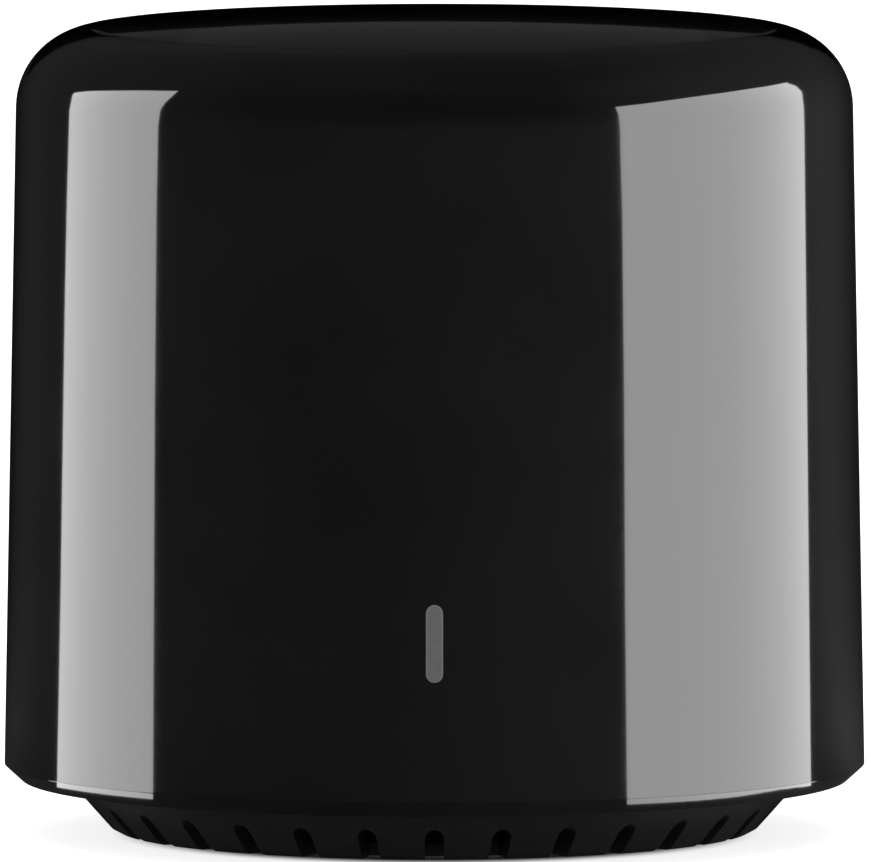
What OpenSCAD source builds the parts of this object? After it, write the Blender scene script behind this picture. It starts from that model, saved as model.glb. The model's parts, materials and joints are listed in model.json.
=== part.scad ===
// Infrared remote hub for a tabletop.
// A gloss shell drops over a vented base. Inside stand a main board, a tower and
// a ring of infrared emitters. Power comes in through a micro-USB socket at the
// back, and a pin pushed up through the floor works the reset button.
// Millimetres, +Z up, front at -Y. The origin is under the centre, on the table.

/* [Shell] */
// Widest outside diameter of the shell
shell_d = 46; // [45:0.5:52]
// Height from the table to the top face
overall_h = 43.2; // [42:0.2:52]
// Wall of the shell
shell_wall = 1.8; // [1.6:0.05:2.1]
// Draft of the side wall in degrees
shell_draft = 1.05; // [0.2:0.05:1.4]
// Radius round the top edge
top_round = 4.3; // [3.4:0.1:5.5]
// Width of the bevel under the lip
lip_bevel_w = 0.95; // [0.4:0.05:1.1]
// Height of the bevel under the lip
lip_bevel_h = 0.87; // [0.4:0.05:1.1]
// Width of the two inner ribs that land on the base
rib_w = 1.4; // [1:0.1:2.4]
// How far the inner ribs stand in from the wall
rib_depth = 1.1; // [0.9:0.1:1.5]

/* [Indicator] */
// Width of the indicator window
window_w = 1; // [0.8:0.05:1.6]
// Height of the indicator window
window_h = 4.2; // [3:0.1:5]
// Height of the window's centre above the table
window_z = 12.2; // [11.8:0.1:18]
// Clearance round the light guide in its window
window_fit = 0.03; // [0.02:0.01:0.08]

/* [Base] */
// How far the rubber ring stands out below the skirt
foot_proud = 0.2; // [0.1:0.05:0.4]
// Height of the skirt below the shell
skirt_h = 2.76; // [2.4:0.05:3.2]
// How far the skirt's lower edge stands in from the shell's side
skirt_inset = 5.85; // [5.4:0.05:6.2]
// Lean of the skirt from upright in degrees
skirt_lean = 42; // [36:1:44]
// Thickness of the skirt
skirt_wall = 1.3; // [1:0.1:1.5]
// Thickness of the floor
floor_t = 1.15; // [1:0.05:1.5]
// Number of vents round the skirt
vent_count = 32; // [16:1:36]
// Width of a vent
vent_w = 1; // [0.6:0.05:1.3]
// Height of a vent above the skirt's lower edge
vent_h = 1.74; // [1.4:0.02:2]
// Clearance between the base's rim and the shell
rim_gap = 0.2; // [0.1:0.05:0.3]

/* [Rubber ring and label] */
// How far the rubber ring stands in from the skirt's lower edge
ring_inset = 3.45; // [3.2:0.05:4.2]
// Width of the rubber ring's section
ring_w = 2.4; // [1.5:0.1:2.8]
// Thickness of the rubber ring
ring_t = 0.95; // [0.8:0.05:1.1]
// Width of the floor between the label's seat and the rubber ring
label_rim = 0.7; // [0.5:0.1:2.5]
// Thickness of the label
label_t = 0.12; // [0.08:0.02:0.2]

/* [Boards] */
// Thickness of both circuit boards
board_t = 1; // [0.8:0.1:1.6]
// Gap between the main board's edge and the shell
board_gap = 0.6; // [0.4:0.1:1]
// Height of the bosses that carry the main board
boss_h = 4.6; // [4.5:0.1:6]
// Gap between the tower and the shell
tower_gap = 2.4; // [2:0.1:2.8]
// How far the emitter board stands in from the tower's outside
led_board_inset = 0.7; // [0.4:0.1:1.6]
// How far the board screws stand in from the tower's posts
screw_inset = 2.3; // [2:0.1:2.6]
// Clearance round a lead in its board hole
lead_play = 0.15; // [0.1:0.05:0.25]

/* [Reset button] */
// How far the reset button stands in from the rubber ring's groove
reset_inset = 4.2; // [3.8:0.1:6]
// Diameter of the pinhole in the floor
pinhole_d = 1.6; // [1.2:0.1:2.2]
// Side of the square switch
switch_w = 6; // [5.8:0.1:6.4]
// Height of the switch's moulding
switch_h = 3.3; // [3.2:0.1:3.6]
// Diameter of the button
button_d = 3.5; // [3:0.1:3.6]
// How far the button stands out of its plate
button_proud = 0.7; // [0.4:0.1:0.8]
// Running clearance round the button in its plate
button_play = 0.05; // [0.02:0.01:0.08]

/* [Power socket] */
// Width of the micro-USB socket
usb_w = 7.5; // [7.3:0.1:7.8]
// Height of the micro-USB socket
usb_h = 2.5; // [2.4:0.05:2.7]
// Length of the micro-USB socket
usb_l = 5.6; // [5:0.1:6]
// Sheet thickness of the socket
usb_sheet = 0.25; // [0.2:0.01:0.3]
// Gap between the socket's mouth and the shell
usb_gap = 0.4; // [0.3:0.1:0.8]
// Width of the recess for the plug's body
plug_recess_w = 11.4; // [10:0.2:12]
// Height of the recess for the plug's body
plug_recess_h = 7.2; // [6.6:0.1:7.6]
// Depth of the recess for the plug's body
plug_recess_depth = 1; // [0.6:0.05:1.1]
// Clearance round the socket in the shell's opening
usb_opening_gap = 0.45; // [0.3:0.05:0.8]

/* [Infrared parts] */
// Diameter of an emitter's lens
led_d = 5; // [4:0.1:5.2]
// Length of an emitter
led_l = 8.6; // [7:0.1:9]
// Gap between an emitter's tip and the shell
led_tip_gap = 0.8; // [0.5:0.1:1.2]
// Gap between the upright emitter and the top face
led_top_gap = 0.4; // [0.3:0.1:1]
// Width of the receiver
receiver_w = 5; // [4.6:0.1:5.2]
// Height of the receiver
receiver_h = 6.9; // [6:0.1:7.2]

/* [Wireless module] */
// Width of the wireless module
wifi_w = 15; // [12:0.5:15]
// Gap between the wireless module and the emitter board
wifi_top_gap = 6.2; // [5.5:0.1:8.5]
// Depth of its shielding can
can_depth = 2.2; // [1.6:0.1:2.4]

/* [Fasteners] */
// Thread diameter of the board screws
screw_d = 2; // [1.8:0.1:2.2]
// Head diameter of the board screws
screw_head_d = 3.8; // [3.4:0.1:4]
// Length of the lower screws under the head
low_screw_l = 6; // [5:0.1:6.4]
// Length of the upper screws under the head
high_screw_l = 5; // [4:0.1:5.4]

/* [Hidden] */
$fn = 96;

// Every cut runs past its body by this much
overrun = 0.4;

// Finishes
shell_colour = "#101011";
base_colour = "#1b1b1c";
rubber_colour = "#202020";
label_colour = "#3a3a3c";
guide_colour = "#6c6c6e";
board_colour = "#0d4a2c";
frame_colour = "#d9d7cf";
steel_colour = "#b9bbbd";
gold_colour = "#c9a24a";
plastic_black = "#18181a";
ceramic_colour = "#a98f6c";
lens_colour = "#1a1626";
cable_colour = "#e9e7e0";
ferrite_colour = "#4a4a4c";

// Shell
front_angle = -90;
shell_r = shell_d / 2;
shell_z0 = foot_proud + skirt_h;
lip_z = shell_z0 + lip_bevel_h;
inner_top_z = overall_h - shell_wall;
rib_angles = [0, 180];

// Base
skirt_z0 = foot_proud;
floor_lift = 0.25;
floor_z0 = skirt_z0 + floor_lift;
floor_z1 = floor_z0 + floor_t;
label_recess = 0.15;
label_z0 = floor_z0 + label_recess;
label_seat_gap = 0.2;
skirt_foot_r = shell_r - skirt_inset;
skirt_edge = 0.22;
ring_r = skirt_foot_r - ring_inset;
ring_fit = 0.1;
ring_seat_z = ring_t;
groove_in_r = ring_r - ring_w - ring_fit;
groove_out_r = ring_r + ring_fit;
label_seat_r = groove_in_r - label_rim;
label_r = label_seat_r - label_seat_gap;
reset_y = groove_in_r - reset_inset;
trough_t = 0.7;
trough_z = skirt_z0 + trough_t;
trough_wall = 0.7;
deck_t = 1;
deck_z = shell_z0 + deck_t;
rim_t = 1.2;
rim_h = 1.7;
rim_z = shell_z0 + rim_h;
rim_r = inner_r(rim_z) - rim_gap;
vent_inner_r = groove_out_r + trough_wall + vent_w / 2;
boss_d = 4.4;
boss_angles = [0, 120, 240];

// Snap hooks between the base and the shell
hook_angles = [45, 135, 225, 315];
hook_setback = 0.1;
hook_r = rim_r - hook_setback;
hook_t = 1;
hook_sweep = 12;
hook_z = 9.6;
hook_land = 0.5;
hook_catch = 0.7;
hook_lead_in = 1.5;
hook_root = 0.5;
hook_play = 0.25;
hook_board_gap = 0.3;
pocket_depth = 0.85;
pocket_sweep = 15;

// Boards
main_z0 = floor_z1 + boss_h;
main_z1 = main_z0 + board_t;
main_r = inner_r(main_z1) - board_gap;
led_stand = 0.4;
led_flange_extra = 0.4;
led_flange_t = 1;
led_z1 = inner_top_z - led_top_gap - led_l - led_stand;
led_z0 = led_z1 - board_t;
screw_play = 0.15;
thread_play = 0.03;
screw_hole_r = screw_d / 2 + screw_play;
screw_pilot_r = screw_d / 2 + thread_play;
pilot_spare = 0.5;

// Tower between the boards
post_t = 2;
post_w = 5;
post_in_r = inner_r(led_z0) - tower_gap - post_t;
screw_circle_r = post_in_r - screw_inset;
led_board_r = post_in_r + post_t - led_board_inset;
lug_t = 1.6;
lug_w = 5;
tower_ring_t = 1.6;
tower_ring_w = 6.3;
tower_boss_d = 4.2;
tower_boss_spare = 0.8;

// Screws
screw_head_h = 1.3;
screw_head_bevel = 0.35;
screw_core = 0.2;
thread_pitch = 0.5;
cross_l = 2.2;
cross_w = 0.5;
cross_depth = 0.7;

// Power socket
usb_r = inner_r(main_z1 + usb_h / 2);
usb_mouth_y = sqrt(pow(usb_r, 2) - pow(usb_w / 2, 2)) - usb_gap;
usb_z = main_z1 + usb_h / 2;
usb_corner = 0.7;
usb_flange = 0.25;
usb_flange_l = 0.3;
usb_tab_w = 1.2;
usb_tab_inset = 0.8;
usb_tab_drop = 0.5;
usb_block_l = 1.6;
tongue_w = 3.7;
tongue_t = 0.65;
tongue_l = 3.3;
tongue_lift = 1.35;
contact_count = 5;
contact_pitch = 0.65;
contact_w = 0.28;
contact_t = 0.12;
contact_tail = 1;
contact_setback = 0.3;
opening_round = 1;
recess_round = 2.4;

// Reset switch, measured down from the main board
switch_cavity_d = 4.8;
plate_t = 0.3;
plate_rivet_d = 0.8;
plate_rivet_h = 0.15;
button_flange_d = 4.5;
button_flange_t = 0.8;
dome_h = 0.45;
dome_t = 0.1;
dome_d = 4.4;
cavity_z = switch_h - button_flange_t - dome_h;
leg_w = 0.7;
leg_t = 0.3;
leg_pitch = 4.5;
leg_above = 0.5;
leg_shoulder = 0.9;

// Indicator
guide_gap = 0.08;
guide_flange_w = 3.2;
guide_flange_t = 0.9;
guide_flange_over = 0.8;
guide_pipe_w = 2;
guide_pipe_depth = 2.6;
guide_facet = 1.2;
guide_lift = 0.3;
guide_back_y = -(inner_r(window_z) - guide_gap - guide_flange_t);
indicator_l = 2.8;
indicator_w = 2.4;
indicator_h = 1.9;
indicator_y = guide_back_y + guide_pipe_depth / 2;

// Wireless module, upright across the main board
wifi_t = 0.8;
wifi_y = -3;
wifi_lift = 0.3;
wifi_z0 = main_z1 + wifi_lift;
wifi_h = led_z0 - wifi_top_gap - wifi_z0;
antenna_t = 0.1;
antenna_line = 0.4;
antenna_pitch = 1.9;
antenna_rise = 2.6;
antenna_turns = 5;
antenna_inset = 1;
can_side_gap = 2;
can_sheet = 0.2;
can_lift = 1.2;
can_antenna_gap = 2;
can_h = wifi_h - can_lift - can_antenna_gap - antenna_rise - antenna_inset;
pin_count = 6;
pin_pitch = 2;
pin_w = 0.5;
pin_up = 1.8;
pin_below = 0.6;
pin_y = wifi_y + wifi_t / 2 + pin_w / 2;

// Parts on the main board
chip_l = 9.9;
chip_w = 3.9;
chip_h = 1.5;
chip_lift = 0.1;
chip_pin_count = 8;
chip_pitch = 1.27;
chip_lead_w = 0.4;
chip_lead_t = 0.2;
chip_lead_run = 0.5;
chip_lead_foot = 0.6;
chip_place_shares = [0.45, -0.43];
regulator_l = 4.5;
regulator_w = 2.5;
regulator_h = 1.5;
regulator_place_shares = [-0.44, 0.35];
regulator_pitch = 1.5;
regulator_lead_l = 1;
regulator_lead_w = 0.5;
regulator_lead_t = 0.4;
inductor_w = 4;
inductor_h = 2;
inductor_bevel = 0.8;
inductor_place_shares = [0.43, 0.18];
cap_d = 5;
cap_h = 7;
cap_groove = 0.25;
cap_groove_w = 0.5;
cap_groove_z = 1.1;
cap_round = 0.4;
cap_place_shares = [0.44, 0.49];
crystal_l = 3.2;
crystal_w = 2.5;
crystal_h = 0.8;
crystal_wifi_gap = 0.55;
crystal_y_share = -0.1;
chip_cap = [1.6, 0.8, 0.8];
chip_resistor = [1.6, 0.8, 0.45];
cap_place_list_shares = [
    [-0.63, 0.45], [-0.24, 0.43], [-0.66, 0.13], [-0.5, -0.36], [-0.12, -0.6],
    [0.14, -0.52], [0.66, -0.2], [0.25, 0.62], [-0.175, 0.6], [0.68, 0.24]
];
resistor_place_list_shares = [
    [-0.12, -0.4], [-0.12, -0.5], [-0.34, -0.36], [-0.7, -0.2], [-0.72, 0.24],
    [-0.63, 0.36], [0.66, 0.38], [0.64, 0.53], [0.06, -0.4], [0.06, -0.63],
    [0.6, -0.62], [-0.74, 0.04]
];

// Receiver on the main board
receiver_depth = 3;
receiver_lens_r = 1.6;
receiver_lift = 0.8;
receiver_lead_w = 0.5;
receiver_lead_pitch = 1.6;
receiver_below = 0.8;
receiver_place_shares = [0.255, -0.78];

// Emitters
led_count = 6;
led_phase = 30;
led_angles = [for (i = [0 : led_count - 1]) led_phase + i * 360 / led_count];
led_flange_r = led_d / 2 + led_flange_extra;
led_axis_z = led_z1 + led_flange_r + led_stand;
led_tip_r = inner_r(led_axis_z + led_d / 2) - led_tip_gap;
led_back_r = led_tip_r - led_l;
led_lead_w = 0.5;
led_lead_gap = 1.27;
led_lead_run = 1.5;
led_lead_below = 0.8;
led_lead_r = led_back_r - led_lead_run + led_lead_w / 2;

// Parts on the emitter board
led_resistor_r = 6;
transistor = [2.9, 1.3, 1];
transistor_r = 5.4;
transistor_count = 3;

// Cable between the boards
cable_w = 6;
cable_t = 0.3;
cable_y = 0.8;
cable_bulge = 1.1;
cable_insert = 1.2;
cable_slot_play = 0.05;
cable_steps = 24;
connector_l = 8;
connector_w = 2.6;
connector_h = 2.2;
connector_wifi_gap = 1.4;
connector_lead_gap = 3.33;
cable_low_x = -(wifi_w / 2 + connector_wifi_gap + connector_w / 2);
cable_high_x = connector_lead_gap - led_lead_r;

function outer_r(z) = shell_r - (z - lip_z) * tan(shell_draft);
function inner_r(z) = outer_r(z) - shell_wall;
function skirt_r(z) = skirt_foot_r + (z - skirt_z0) * tan(skirt_lean);
function skirt_inner_r(z) = skirt_r(z) - skirt_wall / cos(skirt_lean);
function on_main(shares) = [shares[0] * main_r, shares[1] * main_r, main_z1];

// Shared shapes
module rounded_rect(w, h, r) {
    square([w - 2 * r, h], center = true);
    square([w, h - 2 * r], center = true);
    for (x = [-1, 1], y = [-1, 1])
        translate([x * (w / 2 - r), y * (h / 2 - r)]) circle(r);
}

module capsule(w, h) {
    square([w, h - w], center = true);
    for (y = [-1, 1])
        translate([0, y * (h - w) / 2]) circle(d = w);
}

module at_polar(r, angle, z = 0) {
    rotate([0, 0, angle]) translate([r, 0, z]) children();
}

// Stands a flat outline up in X and Z, and runs it along Y from y0 to y1
module along_y(y0, y1) {
    translate([0, y1, 0]) rotate([90, 0, 0]) linear_extrude(y1 - y0) children();
}

module block(size) {
    translate([-size[0] / 2, -size[1] / 2, 0]) cube(size);
}

// Half section of the shell's outside, moved in by a distance
module shell_section(inset, from_z) {
    round_r = top_round - inset;
    round_z = overall_h - inset - round_r;
    round_x = outer_r(round_z) - inset - round_r / cos(shell_draft);
    polygon([
        [0, from_z],
        [outer_r(from_z) - inset, from_z],
        [round_x + round_r * cos(shell_draft), round_z + round_r * sin(shell_draft)],
        [round_x, round_z + round_r],
        [0, round_z + round_r]
    ]);
    intersection() {
        translate([round_x, round_z]) circle(round_r);
        translate([round_x, round_z]) square([round_r + overrun, round_r + overrun]);
    }
}

module shell_solid() {
    rotate_extrude() {
        shell_section(0, lip_z);
        polygon([
            [0, shell_z0],
            [shell_r - lip_bevel_w, shell_z0],
            [shell_r, lip_z],
            [0, lip_z]
        ]);
    }
}

module hook_pocket(angle) {
    rotate([0, 0, angle - pocket_sweep / 2])
        rotate_extrude(angle = pocket_sweep)
            translate([inner_r(hook_z) - overrun, hook_z - hook_play])
                square([pocket_depth + overrun,
                        hook_land + hook_lead_in + 2 * hook_play]);
}

module shell_rib(angle) {
    rib_in_r = inner_r(inner_top_z) - rib_depth;
    intersection() {
        at_polar(rib_in_r, angle, rim_z)
            translate([0, -rib_w / 2, 0])
                cube([rib_depth + shell_wall, rib_w, inner_top_z - rim_z + overrun]);
        rotate_extrude() shell_section(shell_wall / 2, shell_z0);
    }
}

module outer_shell() {
    color(shell_colour) {
        difference() {
            shell_solid();
            rotate_extrude() shell_section(shell_wall, shell_z0 - overrun);
            translate([0, 0, window_z])
                along_y(-shell_r - overrun, -shell_r / 2) capsule(window_w, window_h);
            translate([0, 0, usb_z])
                along_y(shell_r / 2, shell_r + overrun)
                    rounded_rect(usb_w + 2 * usb_flange + 2 * usb_opening_gap,
                                 usb_h + 2 * usb_opening_gap, opening_round);
            translate([0, 0, usb_z])
                along_y(outer_r(usb_z) - plug_recess_depth, shell_r + overrun)
                    rounded_rect(plug_recess_w, plug_recess_h, recess_round);
            for (angle = hook_angles)
                hook_pocket(angle);
        }
        for (angle = rib_angles)
            shell_rib(angle);
    }
}

// Half section of the base, with the ring's groove still solid
module base_section() {
    polygon([
        [0, label_z0],
        [label_seat_r, label_z0],
        [label_seat_r, floor_z0],
        [groove_in_r, floor_z0],
        [groove_in_r, skirt_z0],
        [skirt_foot_r - skirt_edge, skirt_z0],
        [skirt_r(skirt_z0 + skirt_edge), skirt_z0 + skirt_edge],
        [skirt_r(shell_z0), shell_z0],
        [rim_r, shell_z0],
        [rim_r, rim_z],
        [rim_r - rim_t, rim_z],
        [rim_r - rim_t, deck_z],
        [skirt_inner_r(deck_z), deck_z],
        [skirt_inner_r(trough_z), trough_z],
        [groove_out_r + trough_wall, trough_z],
        [groove_out_r + trough_wall, floor_z1],
        [0, floor_z1]
    ]);
}

// One vent, cut outwards through the skirt and down through its edge
module vent(angle) {
    rotate([0, 0, angle])
        translate([vent_inner_r, 0, skirt_z0])
            rotate([90, 0, 90])
                linear_extrude(shell_r) {
                    translate([-vent_w / 2, -overrun])
                        square([vent_w, vent_h - vent_w / 2 + overrun]);
                    translate([0, vent_h - vent_w / 2]) circle(d = vent_w);
                }
}

module snap_hook(angle) {
    hook_top = hook_z + hook_land + hook_lead_in;
    rotate([0, 0, angle - hook_sweep / 2])
        rotate_extrude(angle = hook_sweep)
            polygon([
                [hook_r - hook_t, rim_z - hook_root],
                [hook_r, rim_z - hook_root],
                [hook_r, hook_z],
                [hook_r + hook_catch, hook_z],
                [hook_r + hook_catch, hook_z + hook_land],
                [hook_r, hook_top],
                [hook_r - hook_t, hook_top]
            ]);
}

module base_housing() {
    pilot_depth = low_screw_l - lug_t - board_t + pilot_spare;
    color(base_colour)
        difference() {
            union() {
                difference() {
                    rotate_extrude() base_section();
                    for (i = [0 : vent_count - 1])
                        vent(front_angle + i * 360 / vent_count);
                }
                for (angle = boss_angles)
                    at_polar(screw_circle_r, angle, trough_z)
                        cylinder(d = boss_d, h = main_z0 - trough_z);
                for (angle = hook_angles)
                    snap_hook(angle);
            }
            for (angle = boss_angles)
                at_polar(screw_circle_r, angle, main_z0 - pilot_depth)
                    cylinder(r = screw_pilot_r, h = pilot_depth + overrun);
            rotate_extrude()
                translate([groove_in_r, -overrun])
                    square([groove_out_r - groove_in_r, ring_seat_z + overrun]);
            translate([0, reset_y, label_z0 - overrun])
                cylinder(d = pinhole_d, h = floor_z1 - label_z0 + 2 * overrun);
        }
}

module foot_ring() {
    color(rubber_colour)
        rotate_extrude()
            translate([ring_r - ring_w, 0])
                square([ring_w, ring_t]);
}

module rating_label() {
    color(label_colour)
        translate([0, 0, label_z0 - label_t])
            difference() {
                cylinder(r = label_r, h = label_t);
                translate([0, reset_y, -overrun])
                    cylinder(d = pinhole_d + 2 * label_seat_gap, h = label_t + 2 * overrun);
            }
}

module light_guide() {
    pipe_top = window_z + window_h / 2;
    pipe_bottom = main_z1 + indicator_h + guide_lift;
    pipe_inner_y = guide_back_y + guide_pipe_depth;
    color(guide_colour) {
        intersection() {
            shell_solid();
            translate([0, 0, window_z])
                along_y(-shell_r - overrun, guide_back_y)
                    capsule(window_w - 2 * window_fit, window_h - 2 * window_fit);
        }
        intersection() {
            rotate_extrude() shell_section(shell_wall + guide_gap, shell_z0);
            translate([0, 0, window_z])
                along_y(-shell_r, guide_back_y)
                    rounded_rect(guide_flange_w, window_h + 2 * guide_flange_over,
                                 guide_flange_over);
        }
        translate([-guide_pipe_w / 2, 0, 0])
            rotate([90, 0, 90])
                linear_extrude(guide_pipe_w)
                    polygon([
                        [guide_back_y, pipe_bottom],
                        [pipe_inner_y, pipe_bottom],
                        [pipe_inner_y, pipe_top - guide_facet],
                        [pipe_inner_y - guide_facet, pipe_top],
                        [guide_back_y, pipe_top]
                    ]);
    }
}

module indicator_led() {
    color(cable_colour)
        translate([0, indicator_y, main_z1])
            block([indicator_w, indicator_l, indicator_h]);
}

// Board notch that lets something standing at the edge pass
module edge_notch(angle, inner, width) {
    at_polar(inner, angle, -overrun)
        translate([0, -width / 2, 0]) cube([shell_r, width, board_t + 2 * overrun]);
}

module board_hole(place, r) {
    translate([place[0], place[1], -overrun]) cylinder(r = r, h = board_t + 2 * overrun);
}

function hole_r(lead) = lead / sqrt(2) + lead_play;

function receiver_lead_places() = [
    for (i = [-1 : 1])
        [receiver_place_shares[0] * main_r + i * receiver_lead_pitch,
         receiver_place_shares[1] * main_r]
];

function pin_places() = [
    for (i = [0 : pin_count - 1])
        [(i - (pin_count - 1) / 2) * pin_pitch, pin_y]
];

function leg_places() = [
    for (x = [-1, 1], y = [-1, 1])
        [x * (switch_w / 2 + leg_t / 2), reset_y + y * leg_pitch / 2]
];

function usb_tab_places() = [
    for (x = [-1, 1], y = [0, 1])
        [x * (usb_w / 2 - usb_sheet / 2),
         usb_mouth_y - usb_tab_inset - usb_tab_w / 2
             - y * (usb_l - 2 * usb_tab_inset - usb_tab_w)]
];

module main_board() {
    hook_inner = hook_r - hook_t - hook_board_gap;
    hook_width = 2 * (hook_r + hook_catch) * sin(hook_sweep / 2) + 2 * hook_board_gap;
    color(board_colour)
        translate([0, 0, main_z0])
            difference() {
                cylinder(r = main_r, h = board_t);
                for (angle = hook_angles)
                    edge_notch(angle, hook_inner, hook_width);
                for (angle = rib_angles)
                    edge_notch(angle, inner_r(inner_top_z) - rib_depth - hook_board_gap,
                               rib_w + 2 * hook_board_gap);
                for (angle = boss_angles)
                    at_polar(screw_circle_r, angle) board_hole([0, 0], screw_hole_r);
                for (place = receiver_lead_places())
                    board_hole(place, hole_r(receiver_lead_w));
                for (place = pin_places())
                    board_hole(place, hole_r(pin_w));
                for (place = leg_places())
                    board_hole(place, hole_r(leg_w));
                for (place = usb_tab_places())
                    translate([place[0], place[1], -overrun])
                        block([usb_sheet + 2 * lead_play, usb_tab_w + 2 * lead_play,
                               board_t + 2 * overrun]);
            }
}

module led_board() {
    color(board_colour)
        translate([0, 0, led_z0])
            difference() {
                cylinder(r = led_board_r, h = board_t);
                for (angle = boss_angles)
                    at_polar(screw_circle_r, angle) board_hole([0, 0], screw_hole_r);
                for (angle = led_angles, side = [-1, 1])
                    at_polar(led_lead_r, angle)
                        board_hole([0, side * led_lead_gap], hole_r(led_lead_w));
                for (side = [-1, 1])
                    board_hole([0, side * led_lead_gap], hole_r(led_lead_w));
            }
}

module tower_leg(angle) {
    rotate([0, 0, angle]) {
        translate([post_in_r, -post_w / 2, main_z1])
            cube([post_t, post_w, led_z0 - main_z1]);
        translate([screw_circle_r, -lug_w / 2, main_z1])
            cube([post_in_r + post_t - screw_circle_r, lug_w, lug_t]);
        translate([screw_circle_r, 0, main_z1])
            cylinder(r = lug_w / 2, h = lug_t);
        translate([screw_circle_r, 0, led_z0 - high_screw_l - tower_boss_spare])
            cylinder(d = tower_boss_d, h = high_screw_l + tower_boss_spare);
    }
}

module led_tower() {
    pilot_depth = high_screw_l - board_t + pilot_spare;
    color(frame_colour)
        difference() {
            union() {
                translate([0, 0, led_z0 - tower_ring_t])
                    difference() {
                        cylinder(r = post_in_r + post_t, h = tower_ring_t);
                        translate([0, 0, -overrun])
                            cylinder(r = post_in_r + post_t - tower_ring_w,
                                     h = tower_ring_t + 2 * overrun);
                    }
                for (angle = boss_angles)
                    tower_leg(angle);
            }
            for (angle = boss_angles) {
                at_polar(screw_circle_r, angle, main_z1 - overrun)
                    cylinder(r = screw_hole_r, h = lug_t + 2 * overrun);
                at_polar(screw_circle_r, angle, led_z0 - pilot_depth)
                    cylinder(r = screw_pilot_r, h = pilot_depth + overrun);
            }
        }
}

// Pan-head screw, head up, with the underside of its head at z = 0
module screw(length) {
    ridges = floor(length / thread_pitch);
    crest = screw_d / 2;
    root = crest - screw_core;
    difference() {
        rotate_extrude()
            polygon(concat(
                [[0, screw_head_h], [0, -length]],
                [for (i = [0 : ridges - 1], side = [0, 1])
                    [side == 0 ? root : crest,
                     -length + (i + side / 2) * length / ridges]],
                [[root, 0],
                 [screw_head_d / 2, 0],
                 [screw_head_d / 2, screw_head_h - screw_head_bevel],
                 [screw_head_d / 2 - screw_head_bevel, screw_head_h]]
            ));
        for (turn = [0, 90])
            rotate([0, 0, turn])
                translate([0, 0, screw_head_h - cross_depth])
                    block([cross_l, cross_w, cross_depth + overrun]);
    }
}

module main_board_screws() {
    color(steel_colour)
        for (angle = boss_angles)
            at_polar(screw_circle_r, angle, main_z1 + lug_t) screw(low_screw_l);
}

module led_board_screws() {
    color(steel_colour)
        for (angle = boss_angles)
            at_polar(screw_circle_r, angle, led_z1) screw(high_screw_l);
}

// Outline of the socket, wide side up, standing on z = 0
module usb_outline(grow) {
    half = usb_w / 2 + grow;
    polygon([
        [-half + usb_corner, -grow],
        [half - usb_corner, -grow],
        [half, usb_corner],
        [half, usb_h + grow],
        [-half, usb_h + grow],
        [-half, usb_corner]
    ]);
}

module at_usb() {
    translate([0, 0, main_z1]) children();
}

module usb_socket_shell() {
    color(steel_colour) {
        at_usb() {
            along_y(usb_mouth_y - usb_l, usb_mouth_y)
                difference() {
                    usb_outline(0);
                    usb_outline(-usb_sheet);
                }
            along_y(usb_mouth_y - usb_flange_l, usb_mouth_y)
                difference() {
                    intersection() {
                        usb_outline(usb_flange);
                        translate([-usb_w, 0]) square([2 * usb_w, 2 * usb_h]);
                    }
                    usb_outline(-usb_sheet);
                }
        }
        for (place = usb_tab_places())
            translate([place[0], place[1], main_z0 - usb_tab_drop])
                block([usb_sheet, usb_tab_w,
                       main_z1 - main_z0 + usb_tab_drop + usb_corner + usb_sheet]);
    }
}

// One contact: a blade under the tongue, and a tail that drops to the board
module usb_contact(x) {
    blade_z = tongue_lift - contact_t;
    back_y = usb_mouth_y - usb_l;
    front_y = back_y + usb_block_l + tongue_l - contact_setback;
    translate([x - contact_w / 2, back_y - contact_tail, 0]) {
        translate([0, 0, blade_z])
            cube([contact_w, front_y - back_y + contact_tail, contact_t]);
        cube([contact_w, contact_t, blade_z + contact_t]);
        translate([0, -contact_tail / 2, 0])
            cube([contact_w, contact_tail / 2 + contact_t, contact_t]);
    }
}

module usb_contact_row() {
    for (i = [0 : contact_count - 1])
        usb_contact((i - (contact_count - 1) / 2) * contact_pitch);
}

module usb_socket_contacts() {
    color(gold_colour) at_usb() usb_contact_row();
}

module usb_socket_tongue() {
    back_y = usb_mouth_y - usb_l;
    color(plastic_black)
        at_usb()
            difference() {
                union() {
                    along_y(back_y, back_y + usb_block_l) usb_outline(-usb_sheet);
                    translate([-tongue_w / 2, back_y, tongue_lift])
                        cube([tongue_w, usb_block_l + tongue_l, tongue_t]);
                }
                usb_contact_row();
            }
}

// The switch hangs under the main board, so its own height runs down
module at_switch() {
    translate([0, reset_y, main_z0]) mirror([0, 0, 1]) children();
}

module reset_switch_housing() {
    color(plastic_black)
        at_switch()
            difference() {
                block([switch_w, switch_w, switch_h]);
                translate([0, 0, cavity_z])
                    cylinder(d = switch_cavity_d, h = switch_h - cavity_z + overrun);
            }
}

module reset_switch_plate() {
    rivet_place = switch_w / 2 - plate_rivet_d;
    color(steel_colour)
        at_switch() {
            difference() {
                translate([0, 0, switch_h]) block([switch_w, switch_w, plate_t]);
                translate([0, 0, switch_h - overrun])
                    cylinder(r = button_d / 2 + button_play, h = plate_t + 2 * overrun);
            }
            for (x = [-1, 1], y = [-1, 1])
                translate([x * rivet_place, y * rivet_place, switch_h + plate_t])
                    cylinder(d = plate_rivet_d, h = plate_rivet_h);
        }
}

module reset_button() {
    flange_z = cavity_z + dome_h;
    color(plastic_black)
        at_switch() {
            translate([0, 0, flange_z])
                cylinder(d = button_flange_d, h = button_flange_t);
            translate([0, 0, flange_z])
                cylinder(d = button_d, h = button_flange_t + plate_t + button_proud);
        }
}

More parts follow.
